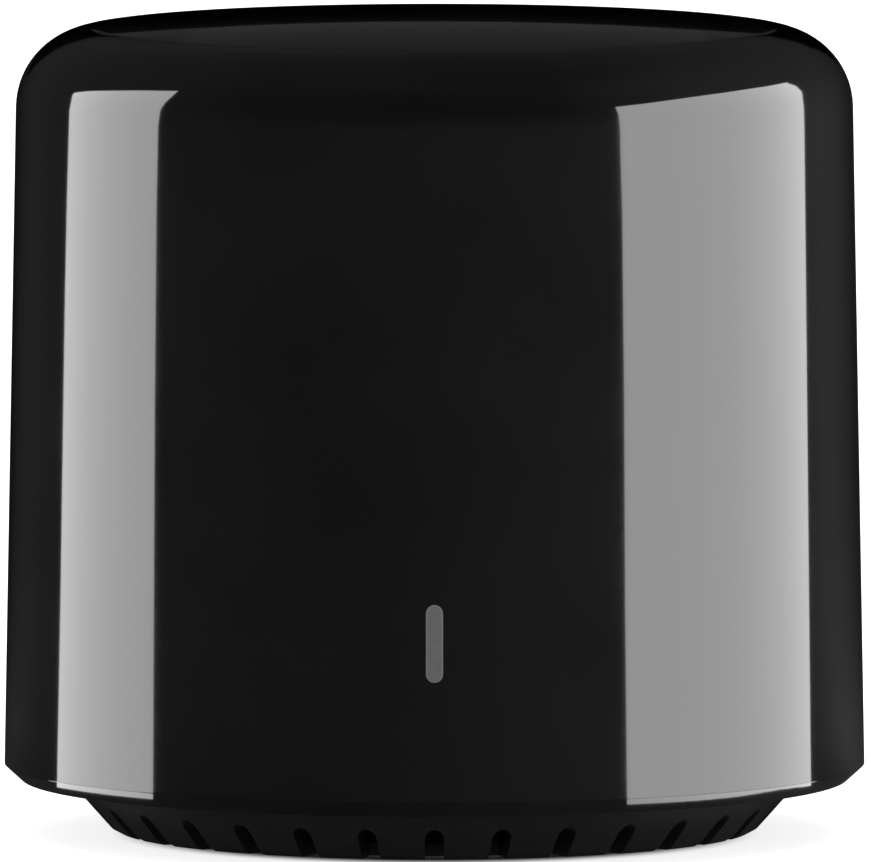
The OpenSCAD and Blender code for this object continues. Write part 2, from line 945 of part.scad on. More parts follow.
module reset_switch_dome() {
    rise = dome_h - dome_t;
    flat_r = dome_d / 8;
    color(steel_colour)
        at_switch()
            translate([0, 0, cavity_z])
                rotate_extrude()
                    polygon([
                        [0, rise],
                        [flat_r, rise],
                        [dome_d / 3, rise / 2],
                        [dome_d / 2, 0],
                        [dome_d / 2, dome_t],
                        [dome_d / 3, rise / 2 + dome_t],
                        [flat_r, dome_h],
                        [0, dome_h]
                    ]);
}

module reset_switch_legs() {
    color(steel_colour)
        for (place = leg_places())
            translate([place[0], place[1], main_z0 - leg_shoulder])
                block([leg_t, leg_w, leg_shoulder + board_t + leg_above]);
}

module wifi_module_board() {
    color(board_colour)
        translate([0, wifi_y, wifi_z0]) block([wifi_w, wifi_t, wifi_h]);
}

module wifi_shield_can() {
    can_w = wifi_w - 2 * can_side_gap;
    front_y = wifi_y - wifi_t / 2;
    color(steel_colour)
        translate([0, front_y - can_depth / 2, wifi_z0 + can_lift])
            difference() {
                block([can_w, can_depth, can_h]);
                translate([0, can_sheet, can_sheet])
                    block([can_w - 2 * can_sheet, can_depth, can_h - 2 * can_sheet]);
            }
}

// Meander of the printed antenna, on the face above the can
module wifi_antenna() {
    front_y = wifi_y - wifi_t / 2;
    run = antenna_turns * antenna_pitch;
    color(gold_colour)
        along_y(front_y - antenna_t, front_y)
            translate([-run / 2, wifi_z0 + wifi_h - antenna_inset - antenna_rise])
                for (i = [0 : antenna_turns]) {
                    translate([i * antenna_pitch, 0])
                        square([antenna_line, antenna_rise]);
                    if (i < antenna_turns)
                        translate([i * antenna_pitch,
                                   i % 2 == 0 ? antenna_rise - antenna_line : 0])
                            square([antenna_pitch + antenna_line, antenna_line]);
                }
}

module wifi_module_pins() {
    color(gold_colour)
        for (place = pin_places())
            translate([place[0], place[1], main_z0 - pin_below])
                block([pin_w, pin_w, pin_below + board_t + wifi_lift + pin_up]);
}

module controller_chip() {
    color(plastic_black)
        translate(on_main(chip_place_shares) + [0, 0, chip_lift])
            block([chip_l, chip_w, chip_h]);
}

module controller_chip_leads() {
    color(steel_colour)
        translate(on_main(chip_place_shares))
            for (i = [0 : chip_pin_count - 1], turn = [0, 180])
                translate([(i - (chip_pin_count - 1) / 2) * chip_pitch, 0, 0])
                    rotate([0, 0, turn])
                        translate([-chip_lead_w / 2, chip_w / 2, 0]) {
                            translate([0, 0, chip_h / 2])
                                cube([chip_lead_w, chip_lead_run, chip_lead_t]);
                            translate([0, chip_lead_run, 0])
                                cube([chip_lead_w, chip_lead_t, chip_h / 2 + chip_lead_t]);
                            translate([0, chip_lead_run, 0])
                                cube([chip_lead_w, chip_lead_foot, chip_lead_t]);
                        }
}

module voltage_regulator() {
    color(plastic_black)
        translate(on_main(regulator_place_shares))
            block([regulator_l, regulator_w, regulator_h]);
}

module regulator_leads() {
    color(steel_colour)
        translate(on_main(regulator_place_shares)) {
            for (i = [-1 : 1])
                translate([i * regulator_pitch,
                           -regulator_w / 2 - regulator_lead_l / 2, 0])
                    block([regulator_lead_w, regulator_lead_l, regulator_lead_t]);
            translate([0, regulator_w / 2 + regulator_lead_l / 2, 0])
                block([regulator_pitch, regulator_lead_l, regulator_lead_t]);
        }
}

module power_inductor() {
    half = inductor_w / 2;
    color(ferrite_colour)
        translate(on_main(inductor_place_shares))
            linear_extrude(inductor_h)
                polygon([
                    for (turn = [0 : 3], end = [0, 1])
                        let (a = turn * 90, along = (end == 0 ? -1 : 1) * (half - inductor_bevel))
                            [half * cos(a) - along * sin(a), half * sin(a) + along * cos(a)]
                ]);
}

module smoothing_capacitor() {
    r = cap_d / 2;
    color(steel_colour)
        translate(on_main(cap_place_shares))
            rotate_extrude()
                polygon([
                    [0, 0],
                    [r, 0],
                    [r, cap_groove_z],
                    [r - cap_groove, cap_groove_z + cap_groove_w / 2],
                    [r, cap_groove_z + cap_groove_w],
                    [r, cap_h - cap_round],
                    [r - cap_round, cap_h],
                    [0, cap_h]
                ]);
}

module crystal() {
    color(steel_colour)
        translate([wifi_w / 2 + crystal_wifi_gap + crystal_l / 2,
                   crystal_y_share * main_r, main_z1])
            linear_extrude(crystal_h)
                rounded_rect(crystal_l, crystal_w, crystal_w / 5);
}

module smd_capacitors() {
    color(ceramic_colour)
        for (shares = cap_place_list_shares)
            translate(on_main(shares)) block(chip_cap);
}

module smd_resistors() {
    color(plastic_black)
        for (shares = resistor_place_list_shares)
            translate(on_main(shares)) block(chip_resistor);
}

module ir_receiver() {
    color(plastic_black)
        translate(on_main(receiver_place_shares) + [0, 0, receiver_lift]) {
            block([receiver_w, receiver_depth, receiver_h]);
            intersection() {
                translate([0, -receiver_depth / 2, receiver_h - receiver_w / 2])
                    sphere(r = receiver_lens_r);
                translate([0, -receiver_depth / 2, 0])
                    block([receiver_w, receiver_depth, receiver_h]);
            }
        }
}

module ir_receiver_leads() {
    color(steel_colour)
        for (place = receiver_lead_places())
            translate([place[0], place[1], main_z0 - receiver_below])
                block([receiver_lead_w, receiver_lead_w,
                       receiver_below + board_t + receiver_lift]);
}

// Emitter standing on z = 0, with its lens up
module emitter() {
    lens_r = led_d / 2;
    color(lens_colour)
        rotate_extrude() {
            square([led_flange_r, led_flange_t]);
            square([lens_r, led_l - lens_r]);
            intersection() {
                translate([0, led_l - lens_r]) circle(lens_r);
                translate([0, led_l - lens_r]) square([lens_r, lens_r]);
            }
        }
}

module ir_led(i) {
    at_polar(led_back_r, led_angles[i], led_axis_z) rotate([0, 90, 0]) emitter();
}

module ir_led_top() {
    translate([0, 0, led_z1 + led_stand]) emitter();
}

module ir_led_leads() {
    color(steel_colour) {
        for (angle = led_angles, side = [-1, 1])
            rotate([0, 0, angle])
                translate([led_lead_r - led_lead_w / 2,
                           side * led_lead_gap - led_lead_w / 2, 0]) {
                    translate([0, 0, led_axis_z - led_lead_w / 2])
                        cube([led_lead_run, led_lead_w, led_lead_w]);
                    translate([0, 0, led_z0 - led_lead_below])
                        cube([led_lead_w, led_lead_w,
                              led_axis_z + led_lead_w / 2 - led_z0 + led_lead_below]);
                }
        for (side = [-1, 1])
            translate([0, side * led_lead_gap, led_z0 - led_lead_below])
                block([led_lead_w, led_lead_w, led_lead_below + board_t + led_stand]);
    }
}

module led_driver_transistors() {
    color(plastic_black)
        for (i = [0 : transistor_count - 1])
            at_polar(transistor_r, -front_angle + i * 360 / transistor_count, led_z1)
                rotate([0, 0, 90]) block(transistor);
}

module led_resistors() {
    color(plastic_black)
        for (i = [0 : led_count - 1])
            at_polar(led_resistor_r, i * 360 / led_count, led_z1)
                rotate([0, 0, 90]) block(chip_resistor);
}

// Socket for the flat cable, standing on z = 0 with its slot up
module cable_connector() {
    color(cable_colour)
        difference() {
            block([connector_w, connector_l, connector_h]);
            translate([0, 0, connector_h - cable_insert])
                block([cable_t + 2 * cable_slot_play, cable_w + 2 * cable_slot_play,
                       cable_insert + overrun]);
        }
}

module main_cable_connector() {
    translate([cable_low_x, cable_y, main_z1]) cable_connector();
}

module led_cable_connector() {
    translate([cable_high_x, cable_y, led_z0]) mirror([0, 0, 1]) cable_connector();
}

// Middle line of the flat cable, straight in both slots and bowed between them
function cable_points() =
    let (low_mouth = main_z1 + connector_h,
         high_mouth = led_z0 - connector_h)
        concat(
            [[cable_low_x, low_mouth - cable_insert]],
            [for (i = [0 : cable_steps])
                let (turn = 180 * i / cable_steps)
                    [cable_low_x + (cable_high_x - cable_low_x) * (1 - cos(turn)) / 2
                         - cable_bulge * pow(sin(turn), 2),
                     low_mouth + (high_mouth - low_mouth) * i / cable_steps]],
            [[cable_high_x, high_mouth + cable_insert]]
        );

module board_cable() {
    points = cable_points();
    last = len(points) - 1;
    color(cable_colour)
        along_y(cable_y - cable_w / 2, cable_y + cable_w / 2)
            polygon(concat(
                [for (i = [0 : last]) points[i] - [cable_t / 2, 0]],
                [for (i = [0 : last]) points[last - i] + [cable_t / 2, 0]]
            ));
}

outer_shell();
base_housing();
foot_ring();
rating_label();
light_guide();
main_board();
led_board();
led_tower();
main_board_screws();
led_board_screws();
usb_socket_shell();
usb_socket_tongue();
usb_socket_contacts();
reset_button();
reset_switch_housing();
reset_switch_plate();
reset_switch_dome();
reset_switch_legs();
wifi_module_board();
wifi_shield_can();
wifi_antenna();
wifi_module_pins();
controller_chip();
controller_chip_leads();
voltage_regulator();
regulator_leads();
power_inductor();
smoothing_capacitor();
crystal();
smd_capacitors();
smd_resistors();
indicator_led();
ir_receiver();
ir_receiver_leads();
for (i = [0 : len(led_angles) - 1])
    ir_led(i);
ir_led_top();
ir_led_leads();
led_driver_transistors();
led_resistors();
main_cable_connector();
led_cable_connector();
board_cable();
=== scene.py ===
import json
import math

import bmesh
import bpy
import numpy as np
from mathutils import Matrix, Vector
from mathutils.bvhtree import BVHTree


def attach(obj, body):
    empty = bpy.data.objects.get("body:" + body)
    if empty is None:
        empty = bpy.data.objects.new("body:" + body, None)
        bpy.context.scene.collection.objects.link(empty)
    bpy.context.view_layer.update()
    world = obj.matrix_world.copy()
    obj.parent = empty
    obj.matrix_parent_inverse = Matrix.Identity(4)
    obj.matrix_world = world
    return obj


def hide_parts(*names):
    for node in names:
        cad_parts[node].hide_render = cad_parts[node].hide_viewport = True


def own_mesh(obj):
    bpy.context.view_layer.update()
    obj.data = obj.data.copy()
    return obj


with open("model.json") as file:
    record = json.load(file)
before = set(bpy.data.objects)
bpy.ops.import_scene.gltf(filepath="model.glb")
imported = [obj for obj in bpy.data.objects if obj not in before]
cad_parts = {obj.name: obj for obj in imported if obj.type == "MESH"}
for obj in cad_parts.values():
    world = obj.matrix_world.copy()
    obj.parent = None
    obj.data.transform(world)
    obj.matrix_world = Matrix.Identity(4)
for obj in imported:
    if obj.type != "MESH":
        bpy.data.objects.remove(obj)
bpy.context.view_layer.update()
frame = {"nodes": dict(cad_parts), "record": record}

MM = 0.001
nodes = frame["nodes"]

# Camera: far off and 4.78 degrees above level, as in the photograph

IMAGE_W = 871
IMAGE_H = 862
SENSOR_MM = 36
LENS_MM = 1160.03
CAMERA_PLACE = (0.0000534, -1.494783, 0.146543)
CAMERA_TILT = 85.22
camera_data = bpy.data.cameras.new("camera")
camera_data.sensor_width = SENSOR_MM
camera_data.lens = LENS_MM
camera_data.clip_start = 0.01
camera_data.clip_end = 20
camera = bpy.data.objects.new("camera", camera_data)
camera.location = CAMERA_PLACE
camera.rotation_euler = (math.radians(CAMERA_TILT), 0, 0)
bpy.context.collection.objects.link(camera)
bpy.context.scene.camera = camera


# Meshes

def add_mesh(name, verts, faces):
    """A piece from points in millimetres."""
    mesh = bpy.data.meshes.new(name)
    mesh.from_pydata([tuple(c * MM for c in v) for v in verts], [], faces)
    mesh.validate()
    mesh.update()
    piece = bpy.data.objects.new(name, mesh)
    bpy.context.collection.objects.link(piece)
    return piece


def rounded(corners, steps=6):
    """Outline points and the normals at both ends of each stretch, from (u, v, radius) corners.

    The normal is on the left of the way the outline runs. A corner with no radius stays sharp.
    """
    points = []
    count = len(corners)
    for i, (u, v, radius) in enumerate(corners):
        here = Vector((u, v))
        if radius == 0 or i in (0, count - 1):
            points.append((here, None))
            continue
        before = (Vector(corners[i - 1][:2]) - here).normalized()
        after = (Vector(corners[i + 1][:2]) - here).normalized()
        half = before.angle(after) / 2
        reach = radius / math.tan(half)
        centre = here + (before + after).normalized() * radius / math.sin(half)
        start = here + before * reach - centre
        turn = start.angle_signed(here + after * reach - centre)
        side = 1 if turn > 0 else -1
        for k in range(steps + 1):
            arm = Matrix.Rotation(-turn * k / steps, 2) @ start
            points.append((centre + arm, arm.normalized() * side))
    return points


def stretches(points, closed=False):
    """Each stretch of an outline as start, end and the normals there."""
    found = []
    pairs = list(zip(points, points[1:] + points[:1])) if closed else list(zip(points, points[1:]))
    for (a, na), (b, nb) in pairs:
        way = b - a
        if way.length < 1e-7:
            continue
        flat = Vector((-way.y, way.x)).normalized()
        start = na if na is not None and na.dot(flat) > 0.9 else flat
        end = nb if nb is not None and nb.dot(flat) > 0.9 else flat
        found.append((a, b, start, end))
    return found


def turned(name, points, segments, closed=False, first=0.0, sweep=360.0):
    """A solid of revolution about Z. Its outline runs with the outside on its left."""
    whole = sweep == 360.0
    rings = segments if whole else segments + 1
    verts, faces, index = [], [], []
    for point, _ in points:
        if point.x < 1e-6:
            index.append([len(verts)] * rings)
            verts.append((0, 0, point.y))
            continue
        index.append([len(verts) + k for k in range(rings)])
        for k in range(rings):
            angle = math.radians(first + sweep * k / segments)
            verts.append((point.x * math.cos(angle), point.x * math.sin(angle), point.y))
    rows = list(zip(index, index[1:] + index[:1])) if closed else list(zip(index, index[1:]))
    for a, b in rows:
        for k in range(segments):
            m = (k + 1) % rings
            corners = []
            for corner in (a[k], b[k], b[m], a[m]):
                if corner not in corners:
                    corners.append(corner)
            if len(corners) > 2:
                faces.append(corners)
    if not whole:
        faces.append([row[0] for row in reversed(index)])
        faces.append([row[-1] for row in index])
    return add_mesh(name, verts, faces)


def prism(name, outline, low, high):
    """An outline of (x, z) points, run along Y from low to high."""
    count = len(outline)
    verts = [(x, y, z) for y in (low, high) for x, z in outline]
    faces = [[k, (k + 1) % count, count + (k + 1) % count, count + k] for k in range(count)]
    faces.append(list(range(count))[::-1])
    faces.append(list(range(count, 2 * count)))
    piece = add_mesh(name, verts, faces)
    face_outwards(piece.data)
    return piece


def face_outwards(mesh):
    work = bmesh.new()
    work.from_mesh(mesh)
    bmesh.ops.remove_doubles(work, verts=work.verts, dist=1e-7)
    bmesh.ops.recalc_face_normals(work, faces=work.faces)
    work.to_mesh(mesh)
    work.free()


def round_rectangle(width, height, radius, centre_z=0.0, steps=12):
    outline = []
    for sx, sz, first in ((1, 1, 0), (-1, 1, 90), (-1, -1, 180), (1, -1, 270)):
        for k in range(steps + 1):
            angle = math.radians(first + 90 * k / steps)
            outline.append((sx * (width / 2 - radius) + radius * math.cos(angle),
                            centre_z + sz * (height / 2 - radius) + radius * math.sin(angle)))
    return outline


def evaluated(piece):
    """Replaces a piece's mesh by what its modifiers make of it, and removes them."""
    graph = bpy.context.evaluated_depsgraph_get()
    mesh = bpy.data.meshes.new_from_object(piece.evaluated_get(graph), depsgraph=graph)
    piece.modifiers.clear()
    old = piece.data
    piece.data = mesh
    bpy.data.meshes.remove(old)
    return piece


def combine(piece, tools, operation):
    """Cuts the tools out of a piece, or joins them to it, and deletes them."""
    for tool in tools:
        step = piece.modifiers.new(operation.lower(), "BOOLEAN")
        step.operation = operation
        step.solver = "EXACT"
        step.object = tool
    evaluated(piece)
    for tool in tools:
        bpy.data.objects.remove(tool)


FAR = 1e9
# How nearly a face has to face the way of its stretch of outline, as a cosine
SAME_WAY = 0.97
# Faces over this many square metres are walls, which lie on an upright or level stretch only
WALL_FACE = 4e-6
LEVEL_FLAT = 0.02
# How many millimetres a face's centre may lie off the outline
OFF_OUTLINE = 0.014


def smooth(piece, degrees):
    """Shades a piece smooth, apart from edges sharper than so many degrees."""
    mesh = piece.data
    mesh.set_sharp_from_angle(angle=math.radians(degrees))
    mesh.polygons.foreach_set("use_smooth", [True] * len(mesh.polygons))


def lay_normals(piece, runs):
    """Gives the turned faces of a piece their exact normals, so that gloss reflects cleanly."""
    smooth(piece, 32)
    mesh = piece.data
    normals = np.empty(len(mesh.loops) * 3)
    mesh.corner_normals.foreach_get("vector", normals)
    normals = normals.reshape(-1, 3)
    place = np.empty(len(mesh.vertices) * 3)
    mesh.vertices.foreach_get("co", place)
    place = place.reshape(-1, 3) / MM
    starts = np.array([tuple(a) for a, b, m, n in runs])
    ways = np.array([tuple(b - a) for a, b, m, n in runs])
    lengths = np.linalg.norm(ways, axis=1)
    flats = np.stack([-ways[:, 1], ways[:, 0]], axis=1) / lengths[:, None]
    first = np.array([tuple(m) for a, b, m, n in runs])
    last = np.array([tuple(n) for a, b, m, n in runs])
    for face in mesh.polygons:
        centre = np.array(face.center) / MM
        radius = math.hypot(centre[0], centre[1])
        around = np.array((centre[0], centre[1])) / max(radius, 1e-9)
        facing = np.array((face.normal.x * around[0] + face.normal.y * around[1], face.normal.z))
        offset = np.array((radius, centre[2])) - starts
        along = np.clip((offset * ways).sum(axis=1) / lengths ** 2, 0, 1)
        away = np.linalg.norm(offset - ways * along[:, None], axis=1)
        away[flats @ facing < SAME_WAY] = FAR
        if face.area > WALL_FACE:
            away[abs(flats[:, 0]) > LEVEL_FLAT] = FAR
        best = int(np.argmin(away))
        if away[best] > OFF_OUTLINE:
            continue
        for loop in face.loop_indices:
            x, y, z = place[mesh.loops[loop].vertex_index]
            r = math.hypot(x, y)
            t = ((r - starts[best][0]) * ways[best][0] + (z - starts[best][1]) * ways[best][1])
            t = min(max(t / lengths[best] ** 2, 0), 1)
            nr, nz = first[best] * (1 - t) + last[best] * t
            if r > 1e-6:
                normals[loop] = (nr * x / r, nr * y / r, nz)
            else:
                normals[loop] = (0, 0, nz)
    mesh.normals_split_custom_set([tuple(n) for n in normals])


# Geometry Nodes: a ring of copies about the hub's axis

def ring_tree():
    tree = bpy.data.node_groups.new("ring_of_copies", "GeometryNodeTree")
    face = tree.interface
    face.new_socket("Geometry", in_out="INPUT", socket_type="NodeSocketGeometry")
    count = face.new_socket("Copies", in_out="INPUT", socket_type="NodeSocketInt")
    count.default_value = 4
    angle = face.new_socket("First Angle", in_out="INPUT", socket_type="NodeSocketFloat")
    angle.default_value = 0.0
    face.new_socket("Finish", in_out="INPUT", socket_type="NodeSocketMaterial")
    face.new_socket("Geometry", in_out="OUTPUT", socket_type="NodeSocketGeometry")
    make = tree.nodes.new
    link = tree.links.new
    start = make("NodeGroupInput")
    end = make("NodeGroupOutput")
    points = make("GeometryNodePoints")
    index = make("GeometryNodeInputIndex")
    pitch = make("ShaderNodeMath")
    pitch.operation = "DIVIDE"
    pitch.inputs[0].default_value = 2 * math.pi
    turn = make("ShaderNodeMath")
    turn.operation = "MULTIPLY_ADD"
    spin = make("ShaderNodeCombineXYZ")
    copies = make("GeometryNodeInstanceOnPoints")
    real = make("GeometryNodeRealizeInstances")
    finish = make("GeometryNodeSetMaterial")
    link(start.outputs["Copies"], points.inputs["Count"])
    link(start.outputs["Copies"], pitch.inputs[1])
    link(index.outputs[0], turn.inputs[0])
    link(pitch.outputs[0], turn.inputs[1])
    link(start.outputs["First Angle"], turn.inputs[2])
    link(turn.outputs[0], spin.inputs["Z"])
    link(points.outputs[0], copies.inputs["Points"])
    link(start.outputs["Geometry"], copies.inputs["Instance"])
    link(spin.outputs[0], copies.inputs["Rotation"])
    link(copies.outputs[0], real.inputs[0])
    link(real.outputs[0], finish.inputs["Geometry"])
    link(start.outputs["Finish"], finish.inputs["Material"])
    link(finish.outputs[0], end.inputs[0])
    return tree


RING = ring_tree()


def ring_of(piece, copies, first_angle, finish):
    """Repeats a piece's mesh about the hub's axis."""
    step = piece.modifiers.new("ring", "NODES")
    step.node_group = RING
    values = {"Copies": copies, "First Angle": math.radians(first_angle), "Finish": finish}
    for item in RING.interface.items_tree:
        if item.in_out == "INPUT" and item.name in values:
            step[item.identifier] = values[item.name]
    return evaluated(piece)


# Materials

# A wave texture of scale 1 repeats every 0.314 units
BAND_SCALE = 0.314


class Finish:
    """A material under construction: patterns that feed a Principled shader."""

    def __init__(self, name, **values):
        self.material = bpy.data.materials.new(name)
        self.material.use_nodes = True
        self.tree = self.material.node_tree
        self.shader = self.tree.nodes["Principled BSDF"]
        self.place = self.tree.nodes.new("ShaderNodeTexCoord").outputs["Object"]
        for socket, value in values.items():
            self.shader.inputs[socket.replace("_", " ")].default_value = value

    def add(self, kind, **values):
        node = self.tree.nodes.new("ShaderNode" + kind)
        for key, value in values.items():
            setattr(node, key, value)
        return node

    def join(self, a, b):
        self.tree.links.new(a, b)

    def stretched(self, scale):
        mapping = self.add("Mapping")
        mapping.inputs["Scale"].default_value = scale
        self.join(self.place, mapping.inputs["Vector"])
        return mapping.outputs[0]

    def grain(self, size, detail=2.0, roughness=0.5, scale=(1, 1, 1)):
        """Noise whose grains are about size millimetres."""
        noise = self.add("TexNoise")
        noise.inputs["Scale"].default_value = 1 / (size * MM)
        noise.inputs["Detail"].default_value = detail
        noise.inputs["Roughness"].default_value = roughness
        self.join(self.stretched(scale), noise.inputs["Vector"])
        return noise.outputs["Fac"]

    def cells(self, size, output="Distance"):
        """Cells about size millimetres across."""
        texture = self.add("TexVoronoi")
        texture.inputs["Scale"].default_value = 1 / (size * MM)
        self.join(self.place, texture.inputs["Vector"])
        return texture.outputs[output]

    def bands(self, pitch, axis, distortion=0.0):
        """Waves pitch millimetres apart along an axis."""
        wave = self.add("TexWave", wave_type="BANDS", bands_direction=axis, wave_profile="SIN")
        wave.inputs["Scale"].default_value = BAND_SCALE / (pitch * MM)
        wave.inputs["Distortion"].default_value = distortion
        self.join(self.place, wave.inputs["Vector"])
        return wave.outputs["Fac"]

    def fade(self, value, low, high, out_low=0.0, out_high=1.0):
        spread = self.add("MapRange")
        spread.inputs["From Min"].default_value = low
        spread.inputs["From Max"].default_value = high
        spread.inputs["To Min"].default_value = out_low
        spread.inputs["To Max"].default_value = out_high
        self.join(value, spread.inputs["Value"])
        return spread.outputs[0]

    def maths(self, a, b, operation="ADD", factor=None):
        node = self.add("Math", operation=operation)
        self.join(a, node.inputs[0])
        if isinstance(b, (int, float)):
            node.inputs[1].default_value = b
        else:
            self.join(b, node.inputs[1])
        if factor is not None:
            node.inputs[2].default_value = factor
        return node.outputs[0]

    def mix(self, value, low, high):
        blend = self.add("Mix", data_type="RGBA")
        self.join(value, blend.inputs[0])
        for socket, colour in ((6, low), (7, high)):
            if isinstance(colour, (tuple, list)):
                blend.inputs[socket].default_value = (*colour, 1)
            else:
                self.join(colour, blend.inputs[socket])
        return blend.outputs[2]

    def colour(self, value):
        self.join(value, self.shader.inputs["Base Color"])

    def roughness(self, value, low, high):
        """Runs from low to high where most of a noise's values lie."""
        self.join(self.fade(value, 0.3, 0.7, low, high), self.shader.inputs["Roughness"])

    def relief(self, value, depth):
        """A bump of depth millimetres."""
        bump = self.add("Bump")
        bump.inputs["Distance"].default_value = depth * MM
        self.join(value, bump.inputs["Height"])
        self.join(bump.outputs[0], self.shader.inputs["Normal"])


def gloss_shell():
    """Deep piano black: a polished mould, a very faint swirl, next to no grain."""
    f = Finish("shell_gloss_black", Coat_Weight=1.0, Coat_Roughness=0.02, Coat_IOR=1.5, IOR=1.5)
    swirl = f.grain(9.0, 3, 0.55)
    speck = f.grain(0.35, 2, 0.5)
    f.colour(f.mix(f.fade(swirl, 0.35, 0.65), (0.0034, 0.0034, 0.0037), (0.0052, 0.0052, 0.0055)))
    f.roughness(f.maths(swirl, speck, "MULTIPLY_ADD", 0.25), 0.07, 0.11)
    f.relief(swirl, 0.0006)
    return f.material


def moulded(name, dark, light, grain, rough, depth, **values):
    """Fine-grained moulded plastic: a spark-eroded grain over slow variation."""
    f = Finish(name, **values)
    slow = f.grain(grain * 22, 3, 0.6)
    fine = f.grain(grain, 3, 0.6)
    both = f.maths(f.maths(slow, fine), 0.5, "MULTIPLY")
    f.colour(f.mix(f.fade(both, 0.34, 0.66), dark, light))
    f.roughness(both, *rough)
    f.relief(fine, depth)
    return f.material


def rubber():
    f = Finish("foot_rubber", IOR=1.46, Sheen_Weight=0.15, Sheen_Roughness=0.5)
    pores = f.cells(0.22)
    dust = f.grain(1.6, 4, 0.65)
    f.colour(f.mix(f.fade(dust, 0.35, 0.7), (0.017, 0.017, 0.017), (0.034, 0.034, 0.033)))
    f.roughness(dust, 0.62, 0.82)
    f.relief(pores, 0.02)
    return f.material


def drawn_metal(name, dark, light, rough, streak, scale=(1, 1, 1), depth=0.001):
    """Plated or drawn metal: streaks along the way it was drawn, and faint clouding."""
    f = Finish(name, Metallic=1.0)
    lines = f.grain(streak, 3, 0.6, scale)
    cloud = f.grain(streak * 30, 2, 0.5)
    f.colour(f.mix(f.fade(f.maths(f.maths(lines, cloud), 0.5, "MULTIPLY"), 0.35, 0.65), dark, light))
    f.roughness(lines, *rough)
    f.relief(lines, depth)
    return f.material


def solder_mask():
    """Green mask over glass weave, with the copper tracks and vias that show through."""
    f = Finish("circuit_board", IOR=1.52, Coat_Weight=0.6, Coat_Roughness=0.12)
    weave = f.maths(f.bands(0.45, "X"), f.bands(0.45, "Y"))
    tracks = f.add("TexBrick")
    tracks.offset = 0.37
    tracks.inputs["Scale"].default_value = 1
    tracks.inputs["Mortar Size"].default_value = 0.00011
    tracks.inputs["Brick Width"].default_value = 0.0031
    tracks.inputs["Row Height"].default_value = 0.00083
    f.join(f.place, tracks.inputs["Vector"])
    vias = f.fade(f.cells(1.3), 0.16, 0.2, 1.0, 0.0)
    copper = f.maths(tracks.outputs["Fac"], vias, "MAXIMUM")
    mask = f.mix(f.fade(weave, 0.6, 1.4), (0.006, 0.075, 0.03), (0.011, 0.1, 0.041))
    f.colour(f.mix(copper, mask, (0.022, 0.17, 0.06)))
    f.roughness(f.grain(0.5), 0.28, 0.4)
    f.relief(f.maths(copper, weave, "MULTIPLY"), 0.02)
    return f.material


def epoxy_lens(name, dark, light):
    f = Finish(name, IOR=1.55, Coat_Weight=0.5, Coat_Roughness=0.05)
    swirl = f.grain(2.5, 4, 0.6)
    f.colour(f.mix(f.fade(swirl, 0.35, 0.65), dark, light))
    f.roughness(swirl, 0.08, 0.16)
    f.relief(f.grain(0.6, 2), 0.002)
    return f.material


# The indicator window: its middle above the table, and how far its straight part reaches up
WINDOW_Z = 12.2
WINDOW_REACH = 1.6


def smoked_guide():
    """Smoked light guide: a milky core behind a polished face, with a painted highlight that turns it
    lighter towards its rim.
    """
    f = Finish("light_guide_grey", IOR=1.49, Coat_Weight=0.3, Coat_Roughness=0.05)
    axes = f.add("SeparateXYZ")
    f.join(f.place, axes.inputs[0])
    side = f.maths(axes.outputs[0], 0.0, "ABSOLUTE")
    up = f.maths(axes.outputs[2], -WINDOW_Z * MM)
    up = f.maths(f.maths(up, 0.0, "ABSOLUTE"), -WINDOW_REACH * MM)
    up = f.maths(up, 0.0, "MAXIMUM")
    squares = f.maths(f.maths(side, 2.0, "POWER"), f.maths(up, 2.0, "POWER"))
    # Painted highlight: the colour turns lighter near the window's rim, where its edge would catch
    # light
    painted_rim_highlight = f.fade(f.maths(squares, 0.5, "POWER"), 0.35 * MM, 0.44 * MM)
    milk = f.grain(0.5, 3, 0.55)
    core = f.mix(f.fade(milk, 0.3, 0.7), (0.122, 0.122, 0.125), (0.142, 0.142, 0.145))
    # The lighter grey here is the painted rim highlight
    f.colour(f.mix(painted_rim_highlight, core, (0.19, 0.19, 0.193)))
    f.roughness(milk, 0.3, 0.42)
    f.relief(milk, 0.003)
    return f.material


def capacitor_can():
    f = Finish("capacitor_aluminium", Metallic=1.0)
    rings = f.bands(0.06, "Z", distortion=0.3)
    cloud = f.grain(1.5)
    f.colour(f.mix(f.fade(cloud, 0.3, 0.7), (0.56, 0.57, 0.59), (0.68, 0.69, 0.71)))
    f.roughness(f.maths(rings, cloud, "MULTIPLY"), 0.24, 0.4)
    f.relief(rings, 0.002)
    return f.material


def speckled(name, dark, light, rough):
    """Fired ceramic or pressed ferrite: fine speckle in a matt body."""
    f = Finish(name, IOR=1.6)
    speckle = f.cells(0.12, "Color")
    body = f.grain(0.7, 3)
    f.colour(f.mix(f.fade(f.maths(speckle, body, "MULTIPLY_ADD", 0.2), 0.2, 0.9), dark, light))
    f.roughness(body, *rough)
    f.relief(f.cells(0.1), 0.006)
    return f.material


def ribbon():
    """Flat cable: insulation that follows the wires in it."""
    f = Finish("cable_white", IOR=1.5, Subsurface_Weight=0.05)
    wires = f.bands(0.65, "Y")
    f.colour(f.mix(f.fade(f.maths(wires, f.grain(0.9), "MULTIPLY"), 0.1, 0.6),
                   (0.62, 0.61, 0.57), (0.75, 0.74, 0.7)))
    f.roughness(f.grain(0.4), 0.38, 0.5)
    f.relief(wires, 0.05)
    return f.material


def label_film():
    """Blank matt film with a fibrous print coat."""
    f = Finish("label_film", IOR=1.48)
    fibres = f.grain(0.12, 4, 0.65, (1, 0.35, 1))
    slow = f.grain(3.5, 2)
    f.colour(f.mix(f.fade(f.maths(fibres, slow, "MULTIPLY"), 0.15, 0.38),
                   (0.036, 0.036, 0.038), (0.052, 0.052, 0.055)))
    f.roughness(fibres, 0.5, 0.66)
    f.relief(fibres, 0.006)
    return f.material


